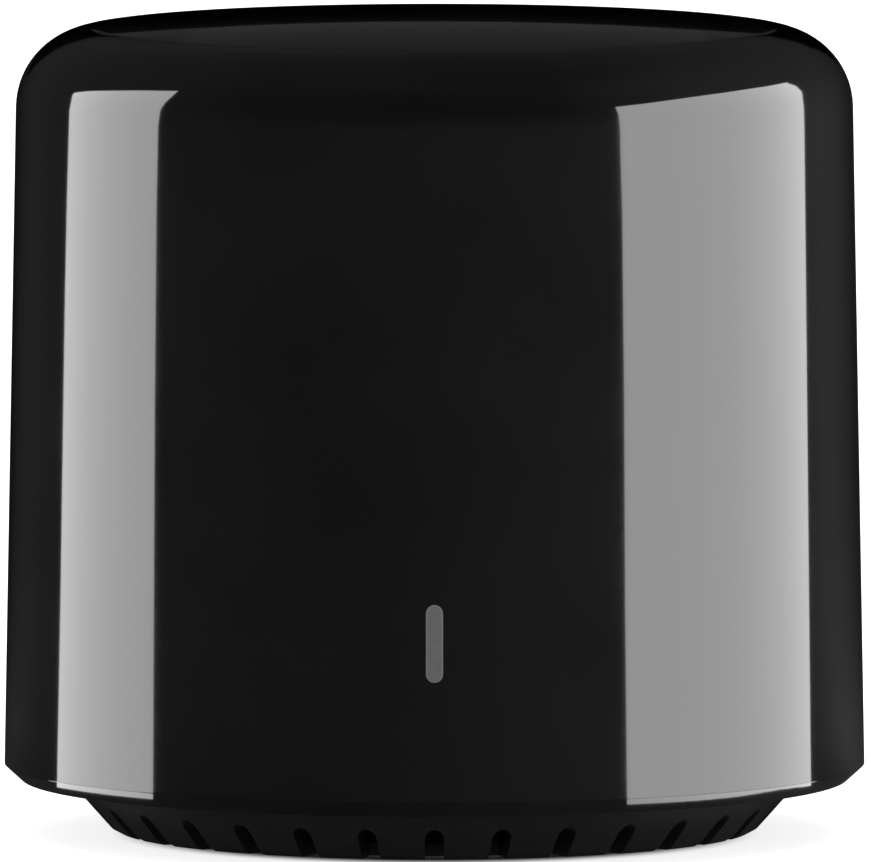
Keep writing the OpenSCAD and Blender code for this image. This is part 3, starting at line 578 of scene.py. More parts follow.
MATERIALS = {
    "shell_gloss_black": gloss_shell(),
    "base_matte_black": moulded("base_matte_black", (0.0145, 0.0145, 0.015), (0.0215, 0.0215, 0.022),
                                0.11, (0.42, 0.56), 0.012, IOR=1.5),
    "foot_rubber": rubber(),
    "label_film": label_film(),
    "light_guide_grey": smoked_guide(),
    "circuit_board": solder_mask(),
    "tower_plastic": moulded("tower_plastic", (0.56, 0.54, 0.48), (0.66, 0.64, 0.58),
                             0.16, (0.4, 0.55), 0.01, IOR=1.5),
    "screw_steel": drawn_metal("screw_steel", (0.42, 0.42, 0.44), (0.58, 0.58, 0.6), (0.25, 0.42),
                               0.12, (1, 1, 3)),
    "socket_steel": drawn_metal("socket_steel", (0.47, 0.47, 0.49), (0.62, 0.62, 0.64), (0.2, 0.36),
                                0.08, (4, 0.5, 4)),
    "tinned_lead": drawn_metal("tinned_lead", (0.5, 0.5, 0.5), (0.67, 0.67, 0.67), (0.26, 0.45), 0.2),
    "gold_contact": drawn_metal("gold_contact", (0.68, 0.46, 0.15), (0.82, 0.58, 0.22), (0.2, 0.34),
                                0.1, (4, 0.6, 4)),
    "black_moulding": moulded("black_moulding", (0.012, 0.012, 0.013), (0.021, 0.021, 0.022),
                              0.08, (0.38, 0.52), 0.006, IOR=1.5),
    "chip_epoxy": moulded("chip_epoxy", (0.014, 0.014, 0.015), (0.027, 0.027, 0.028),
                          0.06, (0.5, 0.68), 0.006, IOR=1.55),
    "ferrite": speckled("ferrite", (0.035, 0.035, 0.038), (0.07, 0.07, 0.076), (0.4, 0.6)),
    "capacitor_aluminium": capacitor_can(),
    "ceramic_tan": speckled("ceramic_tan", (0.28, 0.19, 0.11), (0.44, 0.31, 0.19), (0.35, 0.5)),
    "indicator_white": moulded("indicator_white", (0.68, 0.67, 0.61), (0.8, 0.79, 0.73),
                               0.1, (0.3, 0.42), 0.004, IOR=1.5),
    "infrared_lens": epoxy_lens("infrared_lens", (0.013, 0.008, 0.026), (0.03, 0.018, 0.05)),
    "receiver_black": epoxy_lens("receiver_black", (0.01, 0.009, 0.011), (0.019, 0.016, 0.02)),
    "cable_white": ribbon(),
    "connector_ivory": moulded("connector_ivory", (0.6, 0.56, 0.44), (0.71, 0.67, 0.55),
                               0.12, (0.34, 0.48), 0.006, IOR=1.52),
}

for row in frame["record"]["subparts"]:
    mesh = nodes[row["node"]].data
    mesh.materials.clear()
    mesh.materials.append(MATERIALS[row["material_slot"]])


def dress(piece, slot, body, *replaced):
    """Gives a finished piece its material and its body, and hides the nodes that it stands for."""
    piece.data.materials.clear()
    piece.data.materials.append(MATERIALS[slot])
    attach(piece, body)
    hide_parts(*replaced)


# Outer shell: a gloss cover with a rounded top, open below

SHELL_R = 23.0
DRAFT = math.tan(math.radians(1.05))
LIP_Z = 3.83
SHELL_FOOT = 2.96
TOP_Z = 43.2
WALL = 1.8
OUTER_ROUND = 4.3
INNER_ROUND = 2.5
LIP_EDGE_Z = 3.78
BEVEL_FOOT_R = 22.1
SEGMENTS = 384


def outer_radius(z):
    return SHELL_R - (z - LIP_Z) * DRAFT


def top_corner(inset):
    """Where the wall and the flat top would meet, for a skin moved in by inset."""
    z = TOP_Z - inset
    return outer_radius(z) - inset * math.hypot(1, DRAFT), z


outer_corner = top_corner(0)
inner_corner = top_corner(WALL)
shell_outline = rounded([
    (0, TOP_Z, 0),
    (*outer_corner, OUTER_ROUND),
    (SHELL_R, LIP_EDGE_Z, 0.05),
    (BEVEL_FOOT_R, SHELL_FOOT, 0.1),
    (outer_radius(SHELL_FOOT) - WALL, SHELL_FOOT, 0.08),
    (*inner_corner, INNER_ROUND),
    (0, TOP_Z - WALL, 0),
], steps=16)
shell = turned("gloss_shell", shell_outline, SEGMENTS)
shell_runs = stretches(shell_outline)

# Width, height and corner radius of each opening
WINDOW = (1.0, 4.2, 0.4999)
SOCKET_OPENING = (8.9, 3.4, 1.0)
SOCKET_RECESS = (11.4, 7.2, 2.4)
SOCKET_Z = 8.45
RECESS_DEPTH = 1.0
# Where the cuts through the wall start and end along Y
WINDOW_CUT = (-24, -19)
OPENING_CUT = (18, 24)
HOOKS = 4
FIRST_HOOK = 45
POCKET_IN = 20.6
POCKET_OUT = 21.89
POCKET_LOW = 9.35
POCKET_TOP = 11.85
POCKET_SWEEP = 15.0
RIBS = 2
RIB_HALF = 0.7
RIB_IN = 18.2
RIB_TOP = 41.6
RIM_Z = 4.66

recess_floor = outer_radius(SOCKET_Z) - RECESS_DEPTH
window_cut = prism("window_cut", round_rectangle(*WINDOW, WINDOW_Z, steps=16), *WINDOW_CUT)
opening_cut = prism("opening_cut", round_rectangle(*SOCKET_OPENING, SOCKET_Z), *OPENING_CUT)
recess_cut = prism("recess_cut", round_rectangle(*SOCKET_RECESS, SOCKET_Z), recess_floor,
                   OPENING_CUT[1])
pocket_outline = [(POCKET_IN, POCKET_TOP), (POCKET_OUT, POCKET_TOP), (POCKET_OUT, POCKET_LOW),
                  (POCKET_IN, POCKET_LOW)]
pocket = turned("hook_pockets", [(Vector(p), None) for p in pocket_outline], 10, closed=True,
                first=-POCKET_SWEEP / 2, sweep=POCKET_SWEEP)
face_outwards(pocket.data)
ring_of(pocket, HOOKS, FIRST_HOOK, MATERIALS["shell_gloss_black"])
combine(shell, [window_cut, opening_cut, recess_cut, pocket], "DIFFERENCE")
# A rib's outer side lies within the wall, and follows it into the rounding
rib_outline = [(RIB_IN, RIM_Z), (19.9, RIM_Z), (20.1, 34), (19.0, RIB_TOP), (RIB_IN, RIB_TOP)]
rib = prism("ribs", rib_outline, -RIB_HALF, RIB_HALF)
ring_of(rib, RIBS, 0, MATERIALS["shell_gloss_black"])
combine(shell, [rib], "UNION")
lay_normals(shell, shell_runs)
dress(shell, "shell_gloss_black", "housing", "outer_shell")


# Base: a matte moulding whose conical skirt has a ring of vents

VENTS = 32
VENT_R = 0.5
VENT_ROUND_Z = 1.44
VENT_CUT = (-21, -15)
FLOOR_TOP = 1.6
FLOOR_UNDER = 0.45
LABEL_SEAT_R = 10.5
LABEL_SEAT_Z = 0.6
BASE_FOOT = 0.2
GROOVE_IN = 11.2
GROOVE_OUT = 13.8
GROOVE_TOP = 0.95
TROUGH_IN = 14.5
TROUGH_Z = 0.9
DECK_Z = 3.96
RIM_IN = 19.785
RIM_OUT = 20.985
# The skirt's cone outside and inside, each from its lower to its upper end
SKIRT_OUT = ((17.348, 0.42), (19.635, SHELL_FOOT))
SKIRT_IN = ((16.031, TROUGH_Z), (18.786, DECK_Z))
SKIRT_FOOT_R = 16.93
base_outline = rounded([
    (0, FLOOR_TOP, 0),
    (TROUGH_IN, FLOOR_TOP, 0.1),
    (TROUGH_IN, TROUGH_Z, 0.1),
    (*SKIRT_IN[0], 0.2),
    (*SKIRT_IN[1], 0.2),
    (RIM_IN, DECK_Z, 0.1),
    (RIM_IN, RIM_Z, 0.12),
    (RIM_OUT, RIM_Z, 0.12),
    (RIM_OUT, SHELL_FOOT, 0.1),
    (*SKIRT_OUT[1], 0.1),
    (*SKIRT_OUT[0], 0.1),
    (SKIRT_FOOT_R, BASE_FOOT, 0.08),
    (GROOVE_OUT, BASE_FOOT, 0.08),
    (GROOVE_OUT, GROOVE_TOP, 0.05),
    (GROOVE_IN, GROOVE_TOP, 0.05),
    (GROOVE_IN, FLOOR_UNDER, 0.05),
    (LABEL_SEAT_R, FLOOR_UNDER, 0.04),
    (LABEL_SEAT_R, LABEL_SEAT_Z, 0.03),
    (0, LABEL_SEAT_Z, 0),
], steps=4)
base = turned("vented_base", base_outline, SEGMENTS)
base_runs = stretches(base_outline)

vent_round = [math.radians(a) for a in range(0, 181, 15)]
vent_outline = [(VENT_R * math.cos(a), VENT_ROUND_Z + VENT_R * math.sin(a)) for a in vent_round]
vent_outline += [(-VENT_R, -0.3), (VENT_R, -0.3)]
vents = prism("vents", vent_outline, *VENT_CUT)
ring_of(vents, VENTS, 0, MATERIALS["base_matte_black"])


def round_bar(name, x, y, radius, low, high, sides=48):
    outline = [(Vector((0, high)), None), (Vector((radius, high)), None),
               (Vector((radius, low)), None), (Vector((0, low)), None)]
    piece = turned(name, outline, sides)
    piece.data.transform(Matrix.Translation((x * MM, y * MM, 0)))
    return piece


SCREW_CIRCLE = 14.002
BOSSES = 3
BOSS_R = 2.2
BOSS_TOP = 6.2
PILOT_R = 1.03
PILOT_LOW = 1.9
RESET_Y = 7.0
PINHOLE_R = 0.8
HOOK_IN = 19.885
HOOK_OUT = 20.885
HOOK_CATCH = 21.585
HOOK_ROOT = 4.16
HOOK_Z = 9.6
HOOK_LAND = 10.1
HOOK_TOP = 11.6
HOOK_SWEEP = 12.0
bosses = round_bar("bosses", SCREW_CIRCLE, 0, BOSS_R, TROUGH_Z - 0.05, BOSS_TOP)
pilots = round_bar("pilots", SCREW_CIRCLE, 0, PILOT_R, PILOT_LOW, BOSS_TOP + 0.8)
for piece in (bosses, pilots):
    ring_of(piece, BOSSES, 0, MATERIALS["base_matte_black"])
pinhole = round_bar("pinhole", 0, RESET_Y, PINHOLE_R, BASE_FOOT, FLOOR_TOP + 0.6, 64)
hook_points = [(HOOK_IN, HOOK_ROOT), (HOOK_IN, HOOK_TOP), (HOOK_OUT, HOOK_TOP),
               (HOOK_CATCH, HOOK_LAND), (HOOK_CATCH, HOOK_Z), (HOOK_OUT, HOOK_Z),
               (HOOK_OUT, HOOK_ROOT)]
hook = turned("hooks", [(Vector(p), None) for p in hook_points], 8, closed=True,
              first=-HOOK_SWEEP / 2, sweep=HOOK_SWEEP)
face_outwards(hook.data)
ring_of(hook, HOOKS, FIRST_HOOK, MATERIALS["base_matte_black"])
combine(base, [vents], "DIFFERENCE")
combine(base, [bosses, hook], "UNION")
combine(base, [pilots, pinhole], "DIFFERENCE")
lay_normals(base, base_runs)
dress(base, "base_matte_black", "housing", "base_housing")


# Rubber ring: rounded, with three shallow grooves in its tread

RING_IN = 11.3
RING_OUT = 13.7
RING_TOP = 0.95
TREAD_ROUND = 0.22
GROOVES = (13.1, 12.5, 11.9)
GROOVE_DEPTH = 0.09
GROOVE_HALF = 0.14
GROOVE_FLAT = 0.06
tread = [(RING_IN, RING_TOP, 0.1), (RING_OUT, RING_TOP, 0.1), (RING_OUT, 0.0, TREAD_ROUND)]
for groove in GROOVES:
    tread += [(groove + GROOVE_HALF, 0.0, 0.05), (groove + GROOVE_FLAT, GROOVE_DEPTH, 0.03),
              (groove - GROOVE_FLAT, GROOVE_DEPTH, 0.03), (groove - GROOVE_HALF, 0.0, 0.05)]
tread += [(RING_IN, 0.0, TREAD_ROUND)]
seam = (RING_IN, 0.5, 0)
tread_outline = rounded([seam] + tread + [seam], steps=5)[:-1]
ring = turned("rubber_ring", tread_outline, SEGMENTS, closed=True)
lay_normals(ring, stretches(tread_outline, closed=True))
dress(ring, "foot_rubber", "housing", "foot_ring")


# Snap dome of the reset switch, in its resting shape; the real one flattens as the button is pressed

DOME_Z = 4.15
DOME_H = 0.45
DOME_T = 0.1
DOME_R = 2.2
# The share of the dome's radius that is flat
DOME_FLAT = 0.25
dome_rise = DOME_H - DOME_T
slope = [(k / 12, 0.5 + 0.5 * math.cos(math.pi * k / 12)) for k in range(13)]
under = [(DOME_R * (DOME_FLAT + (1 - DOME_FLAT) * u), DOME_Z - DOME_T - dome_rise * h)
         for u, h in slope]
over = [(r, z + DOME_T) for r, z in reversed(under)]
dome_outline = [(0, DOME_Z - DOME_T - dome_rise)] + under + over + [(0, DOME_Z - dome_rise)]
dome = turned("snap_dome", [(Vector(p), None) for p in dome_outline], 96)
dome.data.transform(Matrix.Translation((0, RESET_Y * MM, 0)))
face_outwards(dome.data)
smooth(dome, 40)
dress(dome, "socket_steel", "housing", "reset_switch_dome")
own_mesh(dome)


# Light guide: the moulded shape, with the edge of its face broken

MERGE_M = 2e-6
FLAT_DEGREES = 1.5
RIM_DEGREES = 40
FACE_Y = -22.6
RIM_WIDTH = 0.07


def merged_copy(node, name):
    """A copy of a node's mesh as one skin, with its flat faces whole."""
    mesh = nodes[node].data.copy()
    piece = bpy.data.objects.new(name, mesh)
    bpy.context.collection.objects.link(piece)
    work = bmesh.new()
    work.from_mesh(mesh)
    bmesh.ops.remove_doubles(work, verts=work.verts, dist=MERGE_M)
    bmesh.ops.dissolve_limit(work, angle_limit=math.radians(FLAT_DEGREES), verts=work.verts,
                             edges=work.edges)
    work.to_mesh(mesh)
    work.free()
    return piece


def break_edges(piece, chosen, width, steps=3):
    work = bmesh.new()
    work.from_mesh(piece.data)
    work.normal_update()
    edges = [e for e in work.edges if chosen(e)]
    bmesh.ops.bevel(work, geom=edges, offset=width * MM, segments=steps, profile=0.5,
                    affect="EDGES", clamp_overlap=True)
    work.to_mesh(piece.data)
    work.free()


def on_face_rim(edge):
    sharp = len(edge.link_faces) == 2 and edge.calc_face_angle(0) > math.radians(RIM_DEGREES)
    return sharp and all(v.co.y < FACE_Y * MM for v in edge.verts)


guide = merged_copy("light_guide", "light_guide_moulding")
break_edges(guide, on_face_rim, RIM_WIDTH)
smooth(guide, RIM_DEGREES)
dress(guide, "light_guide_grey", "housing", "light_guide")


# Power socket: a folded sheet shell with a flared mouth

MOUTH_Y = 20.379
SOCKET_L = 5.6
SOCKET_HALF = 3.75
SOCKET_H = 2.5
SHEET = 0.25
LOW_CORNER = 0.7
HIGH_CORNER = 0.38
BOARD_TOP = 7.2
LEG_PLACES = (-1.4, -4.2)
LEG_HALF = 0.6
LEG_IN = 3.505
LEG_OUT = 3.745
LEG_FOOT = 5.7
LEG_TOP = 8.15


def socket_outline(grow):
    """The socket's section, offset by grow: bevelled below, round above."""
    half = SOCKET_HALF + grow
    top = SOCKET_H + grow
    right = [(half - LOW_CORNER, -grow, SHEET), (half, LOW_CORNER, SHEET),
             (half, top, HIGH_CORNER + grow)]
    corners = right + [(-x, z, radius) for x, z, radius in reversed(right)]
    points = rounded([corners[-1]] + corners + [corners[0]], steps=5)[1:-1]
    return [(p.x, BOARD_TOP + max(p.y, 0.0)) for p, _ in points]


# Out along the outside to the flared mouth and back inside: place, offset, and lift of the floor
sections = [(-SOCKET_L, 0.0, 0), (-0.62, 0.0, 0), (-0.46, 0.03, 0), (-0.34, 0.1, 0),
            (-0.24, 0.2, 0), (-0.12, 0.25, 0), (0.0, 0.24, 0), (0.0, 0.06, SHEET),
            (-0.1, -0.02, SHEET), (-0.24, -0.13, SHEET), (-0.4, -0.22, SHEET),
            (-0.6, -SHEET, SHEET), (-SOCKET_L, -SHEET, SHEET)]
rings = []
for y, grow, lift in sections:
    rings.append([(x, MOUTH_Y + y, max(z, BOARD_TOP + lift)) for x, z in socket_outline(grow)])
size = len(rings[0])
socket_faces = []
for a in range(len(rings)):
    b = (a + 1) % len(rings)
    for k in range(size):
        m = (k + 1) % size
        socket_faces.append([a * size + k, a * size + m, b * size + m, b * size + k])
socket = add_mesh("power_socket_shell", [p for row in rings for p in row], socket_faces)
face_outwards(socket.data)
legs = []
for low, high in ((-LEG_OUT, -LEG_IN), (LEG_IN, LEG_OUT)):
    outline = [(low, LEG_FOOT), (high, LEG_FOOT), (high, LEG_TOP), (low, LEG_TOP)]
    for y in LEG_PLACES:
        middle = MOUTH_Y + y
        legs.append(prism("socket_leg", outline, middle - LEG_HALF, middle + LEG_HALF))
combine(socket, legs, "UNION")
smooth(socket, 50)
dress(socket, "socket_steel", "housing", "usb_socket_shell")


# Studio: white floor and world, and a dark tent and cards that only reflections see

def emission(name, strength):
    material = bpy.data.materials.new(name)
    material.use_nodes = True
    tree = material.node_tree
    tree.nodes.remove(tree.nodes["Principled BSDF"])
    glow = tree.nodes.new("ShaderNodeEmission")
    glow.inputs["Strength"].default_value = strength
    tree.links.new(glow.outputs[0], tree.nodes["Material Output"].inputs["Surface"])
    return material, tree, glow


def reflection_only(piece, material):
    piece.data.materials.append(material)
    piece.visible_camera = False
    piece.visible_diffuse = False
    piece.visible_transmission = False
    piece.visible_volume_scatter = False
    piece.visible_shadow = False


def math_node(tree, operation, a, b=None, c=None):
    node = tree.nodes.new("ShaderNodeMath")
    node.operation = operation
    for socket, value in zip(node.inputs, (a, b, c)):
        if value is None:
            continue
        if isinstance(value, (int, float)):
            socket.default_value = value
        else:
            tree.links.new(value, socket)
    return node.outputs[0]


def smooth_step(tree, value, start, end, before=0.0, after=1.0):
    """Runs smoothly from before to after as the value goes from start to end."""
    step = tree.nodes.new("ShaderNodeMapRange")
    step.interpolation_type = "SMOOTHSTEP"
    step.inputs["From Min"].default_value = start
    step.inputs["From Max"].default_value = end
    step.inputs["To Min"].default_value = before
    step.inputs["To Max"].default_value = after
    tree.links.new(value, step.inputs["Value"])
    return step.outputs[0]


def mixed(tree, a, b, share):
    rest = math_node(tree, "SUBTRACT", 1.0, share)
    return math_node(tree, "ADD", math_node(tree, "MULTIPLY", a, rest),
                     math_node(tree, "MULTIPLY", b, share))


def see_through(tree, shader, share):
    """Makes a share of a shader transparent and gives it to the material."""
    mix = tree.nodes.new("ShaderNodeMixShader")
    tree.links.new(share, mix.inputs[0])
    tree.links.new(shader, mix.inputs[1])
    tree.links.new(tree.nodes.new("ShaderNodeBsdfTransparent").outputs[0], mix.inputs[2])
    tree.links.new(mix.outputs[0], tree.nodes["Material Output"].inputs["Surface"])


def looked_at(tree):
    """1 for rays from the camera and in reflections or glass, and the Light Path's outputs."""
    paths = tree.nodes.new("ShaderNodeLightPath").outputs
    mirrored = math_node(tree, "MAXIMUM", paths["Is Glossy Ray"], paths["Is Transmission Ray"])
    return math_node(tree, "MAXIMUM", paths["Is Camera Ray"], mirrored), paths


def grid_faces(rows, columns):
    """Four-sided faces over a grid of points, given row by row."""
    return [[r * columns + c, r * columns + c + 1, (r + 1) * columns + c + 1, (r + 1) * columns + c]
            for r in range(rows - 1) for c in range(columns - 1)]


def set_values(piece, name, values):
    piece.data.attributes.new(name, "FLOAT", "POINT").data.foreach_set("value", values)


def value_of(tree, name):
    read = tree.nodes.new("ShaderNodeAttribute")
    read.attribute_name = name
    return read.outputs["Fac"]


def around_stops(levels):
    """Levels by degrees from the front, as places along a ramp."""
    return [((degrees + 180) / 360, level) for degrees, level in levels]


def ramp_node(tree, value, stops):
    ramp = tree.nodes.new("ShaderNodeValToRGB")
    ramp.color_ramp.interpolation = "B_SPLINE"
    elements = ramp.color_ramp.elements
    while len(elements) > 1:
        elements.remove(elements[-1])
    elements[0].position = stops[0][0]
    elements[0].color = (stops[0][1],) * 3 + (1,)
    for place, level in stops[1:]:
        elements.new(place).color = (level,) * 3 + (1,)
    tree.links.new(value, ramp.inputs[0])
    return ramp.outputs[0]


# Dark surroundings, by degrees from the front, clockwise seen from above
AROUND = [(-180, 0.005), (-163, 0.003), (-149, 0.02), (-134, 0.041), (-110, 0.036), (-90, 0.05),
          (-60, 0.048), (-30, 0.042), (0, 0.05), (30, 0.08), (50, 0.092), (75, 0.08), (95, 0.056),
          (112, 0.072), (124, 0.1), (131, 0.085), (138, 0.06), (146, 0.037), (158, 0.011),
          (180, 0.006)]
# The same for what lies higher than about 35 degrees
OVERHEAD = [(-180, 0.02), (-120, 0.045), (-90, 0.05), (-60, 0.018), (-20, 0.008), (20, 0.01),
            (50, 0.045), (80, 0.1), (110, 0.09), (150, 0.03), (180, 0.02)]
# Straight up, one even level
ZENITH = 0.03
# Slopes, as rise over run, between which one of these gives way to the next
OVERHEAD_SLOPES = (0.05, 0.7)
ZENITH_SLOPES = (0.9, 2.6)
# Darker on the floor round the hub, in metres, which is what the bevel and the skirt reflect
NEAR_FLOOR = (0.03, 0.09)
NEAR_SHARE = 0.45


def surroundings():
    material, tree, glow = emission("dark_surroundings", 1.0)
    place = tree.nodes.new("ShaderNodeTexCoord").outputs["Object"]
    axes = tree.nodes.new("ShaderNodeSeparateXYZ")
    tree.links.new(place, axes.inputs[0])
    x, y, z = axes.outputs
    back = math_node(tree, "MULTIPLY", y, -1.0)
    angle = math_node(tree, "ARCTAN2", x, back)
    turn = math_node(tree, "MULTIPLY_ADD", angle, 1 / (2 * math.pi), 0.5)
    level = ramp_node(tree, turn, around_stops(AROUND))
    above = ramp_node(tree, turn, around_stops(OVERHEAD))
    squares = math_node(tree, "ADD", math_node(tree, "MULTIPLY", x, x),
                        math_node(tree, "MULTIPLY", y, y))
    flat = math_node(tree, "SQRT", squares)
    rise = math_node(tree, "DIVIDE", z, math_node(tree, "MAXIMUM", flat, MM))
    total = mixed(tree, level, above, smooth_step(tree, rise, *OVERHEAD_SLOPES))
    near = smooth_step(tree, flat, *NEAR_FLOOR, NEAR_SHARE)
    total = math_node(tree, "MULTIPLY", total, near)
    total = mixed(tree, total, ZENITH, smooth_step(tree, rise, *ZENITH_SLOPES))
    tree.links.new(total, glow.inputs["Strength"])
    return material


TENT_R = 260
TENT_FOOT = 0.12
TENT_TOP = 420
tent_outline = [(0, TENT_FOOT), (TENT_R, TENT_FOOT), (TENT_R, TENT_TOP), (0, TENT_TOP)]
tent = turned("tent", [(Vector(p), None) for p in tent_outline], 96)
reflection_only(tent, surroundings())

# Two light cards stand beside the shell, where the camera sees them mirrored as tall strips.
# They stay below the flat top, which therefore mirrors no part of them in other views.
CARD_SIDE = 26.0
CARD_TOP = TOP_Z - 0.1
CARD_FOOT = 0.25
CARD_COLUMNS = 12
# The bevel under the lip mirrors the cards half as brightly
BEVEL_TOP = 3.8
BEVEL_SHARE = 0.5


def shell_normal(point):
    """The exact normal of the shell's outside near a point."""
    flat = Vector((math.hypot(point.x, point.y), point.z)) / MM
    best, least = None, FAR
    for a, b, first, last in shell_runs:
        way = b - a
        along = min(max((flat - a).dot(way) / way.length_squared, 0), 1)
        away = (a + way * along - flat).length
        if away < least:
            least = away
            best = (first * (1 - along) + last * along).normalized()
    radius = math.hypot(point.x, point.y)
    return Vector((best.x * point.x / radius, best.x * point.y / radius, best.y))


def mirrored_place(surface, x, y):
    """A point beside the shell, on the way that the camera's ray through a pixel is mirrored.

    Also the height at which the shell mirrors it, and how far the ray travels from there.
    """
    focal = LENS_MM / SENSOR_MM * IMAGE_W
    way = camera.matrix_world.to_3x3() @ Vector(((x - IMAGE_W / 2) / focal,
                                                 (IMAGE_H / 2 - y) / focal, -1))
    way.normalize()
    place = surface.ray_cast(camera.location, way)[0]
    if place is None:
        raise ValueError(f"A light card leaves the shell at pixel {x:.0f}, {y:.0f}")
    mirrored = way.reflect(shell_normal(place))
    place /= MM
    reach = (math.copysign(CARD_SIDE, place.x) - place.x) / mirrored.x
    limit = CARD_TOP if mirrored.z > 0 else CARD_FOOT
    reach = min(reach, (limit - place.z) / mirrored.z)
    return place + mirrored * reach, place.z, reach


def light_card(name, left, right, top, bottom, levels):
    """A card whose outline, in pixels, is given by its edges: x by y, x by y, y by x, y by x."""
    surface = BVHTree.FromObject(shell, bpy.context.evaluated_depsgraph_get())
    # Even steps down the wall, and closer ones over the top's rounding and the bevel
    steps = sorted({k / 40 for k in range(41)} | {k / 600 for k in range(37)}
                   | {1 - k / 900 for k in range(37)})
    verts, strengths, reaches = [], [], []
    for v in steps:
        for column in range(CARD_COLUMNS + 1):
            u = column / CARD_COLUMNS
            x_top = left[0][1] * (1 - u) + right[0][1] * u
            x_low = left[-1][1] * (1 - u) + right[-1][1] * u
            y = np.interp(x_top, *zip(*top)) * (1 - v) + np.interp(x_low, *zip(*bottom)) * v
            x = np.interp(y, *zip(*left)) * (1 - u) + np.interp(y, *zip(*right)) * u
            place, z, reach = mirrored_place(surface, float(x), float(y))
            verts.append(place)
            level = levels[0] * (1 - u) + levels[1] * u
            strengths.append(level if z > BEVEL_TOP else level * BEVEL_SHARE)
            reaches.append(reach * MM)
    card = add_mesh(name, verts, grid_faces(len(steps), CARD_COLUMNS + 1))
    set_values(card, "level", strengths)
    set_values(card, "reach", reaches)
    reflection_only(card, light_by_level)


# A card lets rays through that come from nearer or farther than the reach it was made for, so
# that views along the shell don't show it as a glare on the rim.
light_by_level, tree, glow = emission("light_card", 1.0)
tree.links.new(value_of(tree, "level"), glow.inputs["Strength"])
travelled = tree.nodes.new("ShaderNodeLightPath").outputs["Ray Length"]
share = math_node(tree, "DIVIDE", travelled, value_of(tree, "reach"))
too_near = smooth_step(tree, share, 0.65, 0.85, 1.0, 0.0)
too_far = smooth_step(tree, share, 1.14, 1.32)
see_through(tree, glow.outputs[0], math_node(tree, "MAXIMUM", too_near, too_far))

# The edges of the two strips in the picture, in pixels
LEFT_STRIP = {
    "left": [(91, 76), (95, 72.5), (110, 69.5), (200, 67), (300, 65), (400, 63.5), (600, 60.5),
             (785, 57)],
    "right": [(91, 178), (97, 171.5), (103, 165), (110, 160.5), (125, 158.3), (200, 156.8),
              (400, 155), (600, 154), (799, 153)],
    "top": [(74, 93), (90, 91), (140, 90.5), (178, 91)],
    "bottom": [(57, 787), (64, 788.3), (80, 791), (105, 794.5), (130, 797.2), (153, 799.3)],
}
RIGHT_STRIP = {
    "left": [(106, 615), (115, 618.5), (130, 620), (200, 622), (400, 624), (600, 625), (803, 627)],
    "right": [(83, 787), (86, 796), (92, 802), (110, 804), (200, 805), (400, 807), (600, 809),
              (788, 811)],
    "top": [(615, 107), (640, 104), (680, 98), (700, 95), (740, 89), (787, 82.5)],
    "bottom": [(627, 804.5), (660, 803), (700, 800.5), (740, 796.5), (780, 789.5), (811, 785.5)],
}
bpy.context.view_layer.update()
light_card("left_card", **LEFT_STRIP, levels=(3.08, 3.38))
light_card("right_card", **RIGHT_STRIP, levels=(3.62, 3.08))

# Two strips behind the hub, which only views from behind reflect
STRIP_Y = 27
STRIP_FOOT = 0.3
STRIP_TOP = 42
STRIP_LEVEL = 2.2
STRIP_REACH = 0.0105
for name, low, high in (("rear_strip_wide", 8, 20), ("rear_strip_narrow", -17, -11)):
    corners = [(low, STRIP_Y, STRIP_FOOT), (high, STRIP_Y, STRIP_FOOT),
               (high, STRIP_Y, STRIP_TOP), (low, STRIP_Y, STRIP_TOP)]
    strip = add_mesh(name, corners, [[0, 1, 2, 3]])
    set_values(strip, "level", [STRIP_LEVEL] * 4)
    set_values(strip, "reach", [STRIP_REACH] * 4)
    reflection_only(strip, light_by_level)

# The card behind, whose upper edge draws the dark band along the far rim of the top
CARD_Y = 30
CARD_LOW = 43.0
EDGE_Z = 44.98
card_edge = [(-31.8, 43.9), (-30.6, 48.6), (-28.2, 51.2), (-24.3, 52.4), (-20.2, 50.4),
             (-16.5, 47.6), (-12.8, 45.4), (-10.0, 45.2), (-7.3, 45.1), (-3.6, 45.01),
             (0, EDGE_Z), (3.6, 45.01), (7.3, 45.1), (10.0, 45.2), (14.5, 45.5), (18.5, 48.8),
             (22.5, 52.0), (25.5, 51.9), (28.1, 50.9), (28.3, 44.6), (28.3, CARD_LOW),
             (-31.8, CARD_LOW)]
black_card, _, _ = emission("black_card", 0.0)
card = add_mesh("rear_card", [(x, CARD_Y, z) for x, z in card_edge],
                [list(range(len(card_edge)))])
reflection_only(card, black_card)


def rear_glow():
    """A faint band of light that fades upwards from the card's edge."""
    heights = [0.0, 0.15, 0.3, 0.5, 0.75, 1.0, 1.4, 1.9, 2.5]
    across = range(-19, 20, 2)
    faint, bright, fall, curve = 0.012, 0.026, 0.7, 0.0022
    verts = [(x, CARD_Y, EDGE_Z + curve * x * x + h) for h in heights for x in across]
    levels = [faint + bright * math.exp(-h / fall) for h in heights for x in across]
    piece = add_mesh("rear_glow", verts, grid_faces(len(heights), len(across)))
    set_values(piece, "level", levels)
    material, tree, glow = emission("rear_glow", 1.0)
    tree.links.new(value_of(tree, "level"), glow.inputs["Strength"])
    reflection_only(piece, material)


rear_glow()

# Floor: a hair under the hub, plain white, and see-through from below
FLOOR_Z = -0.02
FLOOR_HALF = 3000
FLOOR_WHITE = 0.9
FLOOR_LIFT = 0.78
# What lies under the base gets this much light, for views from below
UNDER_FILL = 0.5
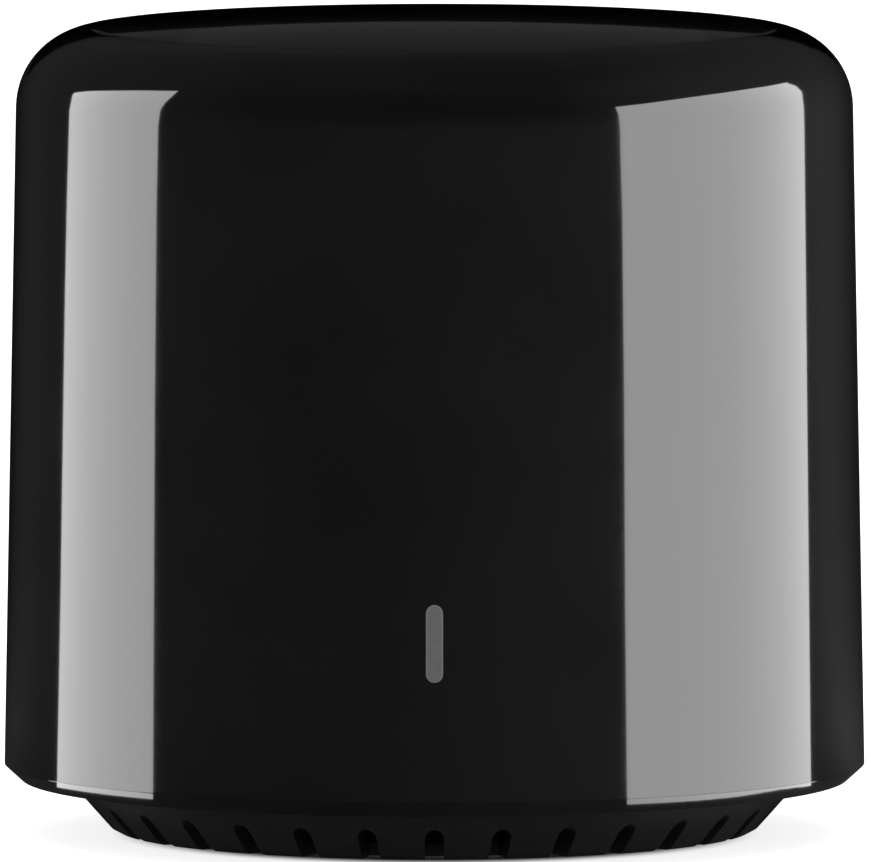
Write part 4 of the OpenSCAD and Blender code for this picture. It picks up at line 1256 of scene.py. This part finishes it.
# The lift ends under the skirt, so that no light floor shows through the vents
LIFT_ENDS = (0.0145, 0.0175)
corners = [(x * FLOOR_HALF, y * FLOOR_HALF, FLOOR_Z) for x, y in ((-1, -1), (1, -1), (1, 1), (-1, 1))]
floor = add_mesh("floor", corners, [[0, 1, 2, 3]])
floor_material = bpy.data.materials.new("studio_floor")
floor_material.use_nodes = True
tree = floor_material.node_tree
paint = tree.nodes["Principled BSDF"]
paint.inputs["Base Color"].default_value = (FLOOR_WHITE, FLOOR_WHITE, FLOOR_WHITE, 1)
paint.inputs["Roughness"].default_value = 0.9
paint.inputs["Specular IOR Level"].default_value = 0.0
seen, paths = looked_at(tree)
middle = tree.nodes.new("ShaderNodeVectorMath")
middle.operation = "LENGTH"
tree.links.new(tree.nodes.new("ShaderNodeTexCoord").outputs["Object"], middle.inputs[0])
outside = smooth_step(tree, middle.outputs["Value"], *LIFT_ENDS)
under = math_node(tree, "SUBTRACT", 1.0, outside)
around = math_node(tree, "MULTIPLY", math_node(tree, "MULTIPLY", seen, FLOOR_LIFT), outside)
scattered = math_node(tree, "MULTIPLY", paths["Is Diffuse Ray"], under)
fill = math_node(tree, "MULTIPLY", scattered, UNDER_FILL)
lift = tree.nodes.new("ShaderNodeEmission")
tree.links.new(math_node(tree, "ADD", around, fill), lift.inputs["Strength"])
both = tree.nodes.new("ShaderNodeAddShader")
tree.links.new(paint.outputs[0], both.inputs[0])
tree.links.new(lift.outputs[0], both.inputs[1])
see_through(tree, both.outputs[0], tree.nodes.new("ShaderNodeNewGeometry").outputs["Backfacing"])
floor.data.materials.append(floor_material)

# World: white to the camera and in reflections, a soft fill for everything else
world = bpy.data.worlds.new("studio")
bpy.context.scene.world = world
world.use_nodes = True
tree = world.node_tree
seen, _ = looked_at(tree)
FILL = 0.5
sky = tree.nodes["Background"]
sky.inputs["Color"].default_value = (1, 1, 1, 1)
tree.links.new(math_node(tree, "MULTIPLY_ADD", seen, 1 - FILL, FILL), sky.inputs["Strength"])


def softbox(name, place, size, power, aim=(0, 0, 0.02)):
    """A square lamp, in metres and watts, that reflections don't show."""
    data = bpy.data.lights.new(name, "AREA")
    data.shape = "SQUARE"
    data.size = size
    data.energy = power
    lamp = bpy.data.objects.new(name, data)
    lamp.location = place
    lamp.rotation_euler = (Vector(aim) - Vector(place)).to_track_quat("-Z", "Y").to_euler()
    bpy.context.collection.objects.link(lamp)
    lamp.visible_glossy = False
    lamp.visible_camera = False


softbox("overhead_softbox", (0, -0.1, 1.2), 1.2, 6.0)
softbox("left_softbox", (-0.9, -0.5, 0.25), 0.5, 1.0)
softbox("right_softbox", (0.9, -0.6, 0.25), 0.5, 1.3)
softbox("left_low_softbox", (-0.6, -0.12, 0.07), 0.14, 0.9, (0, 0, 0.002))
softbox("right_low_softbox", (0.6, -0.2, 0.07), 0.14, 0.9, (0, 0, 0.002))

bpy.context.scene.view_settings.view_transform = "Standard"
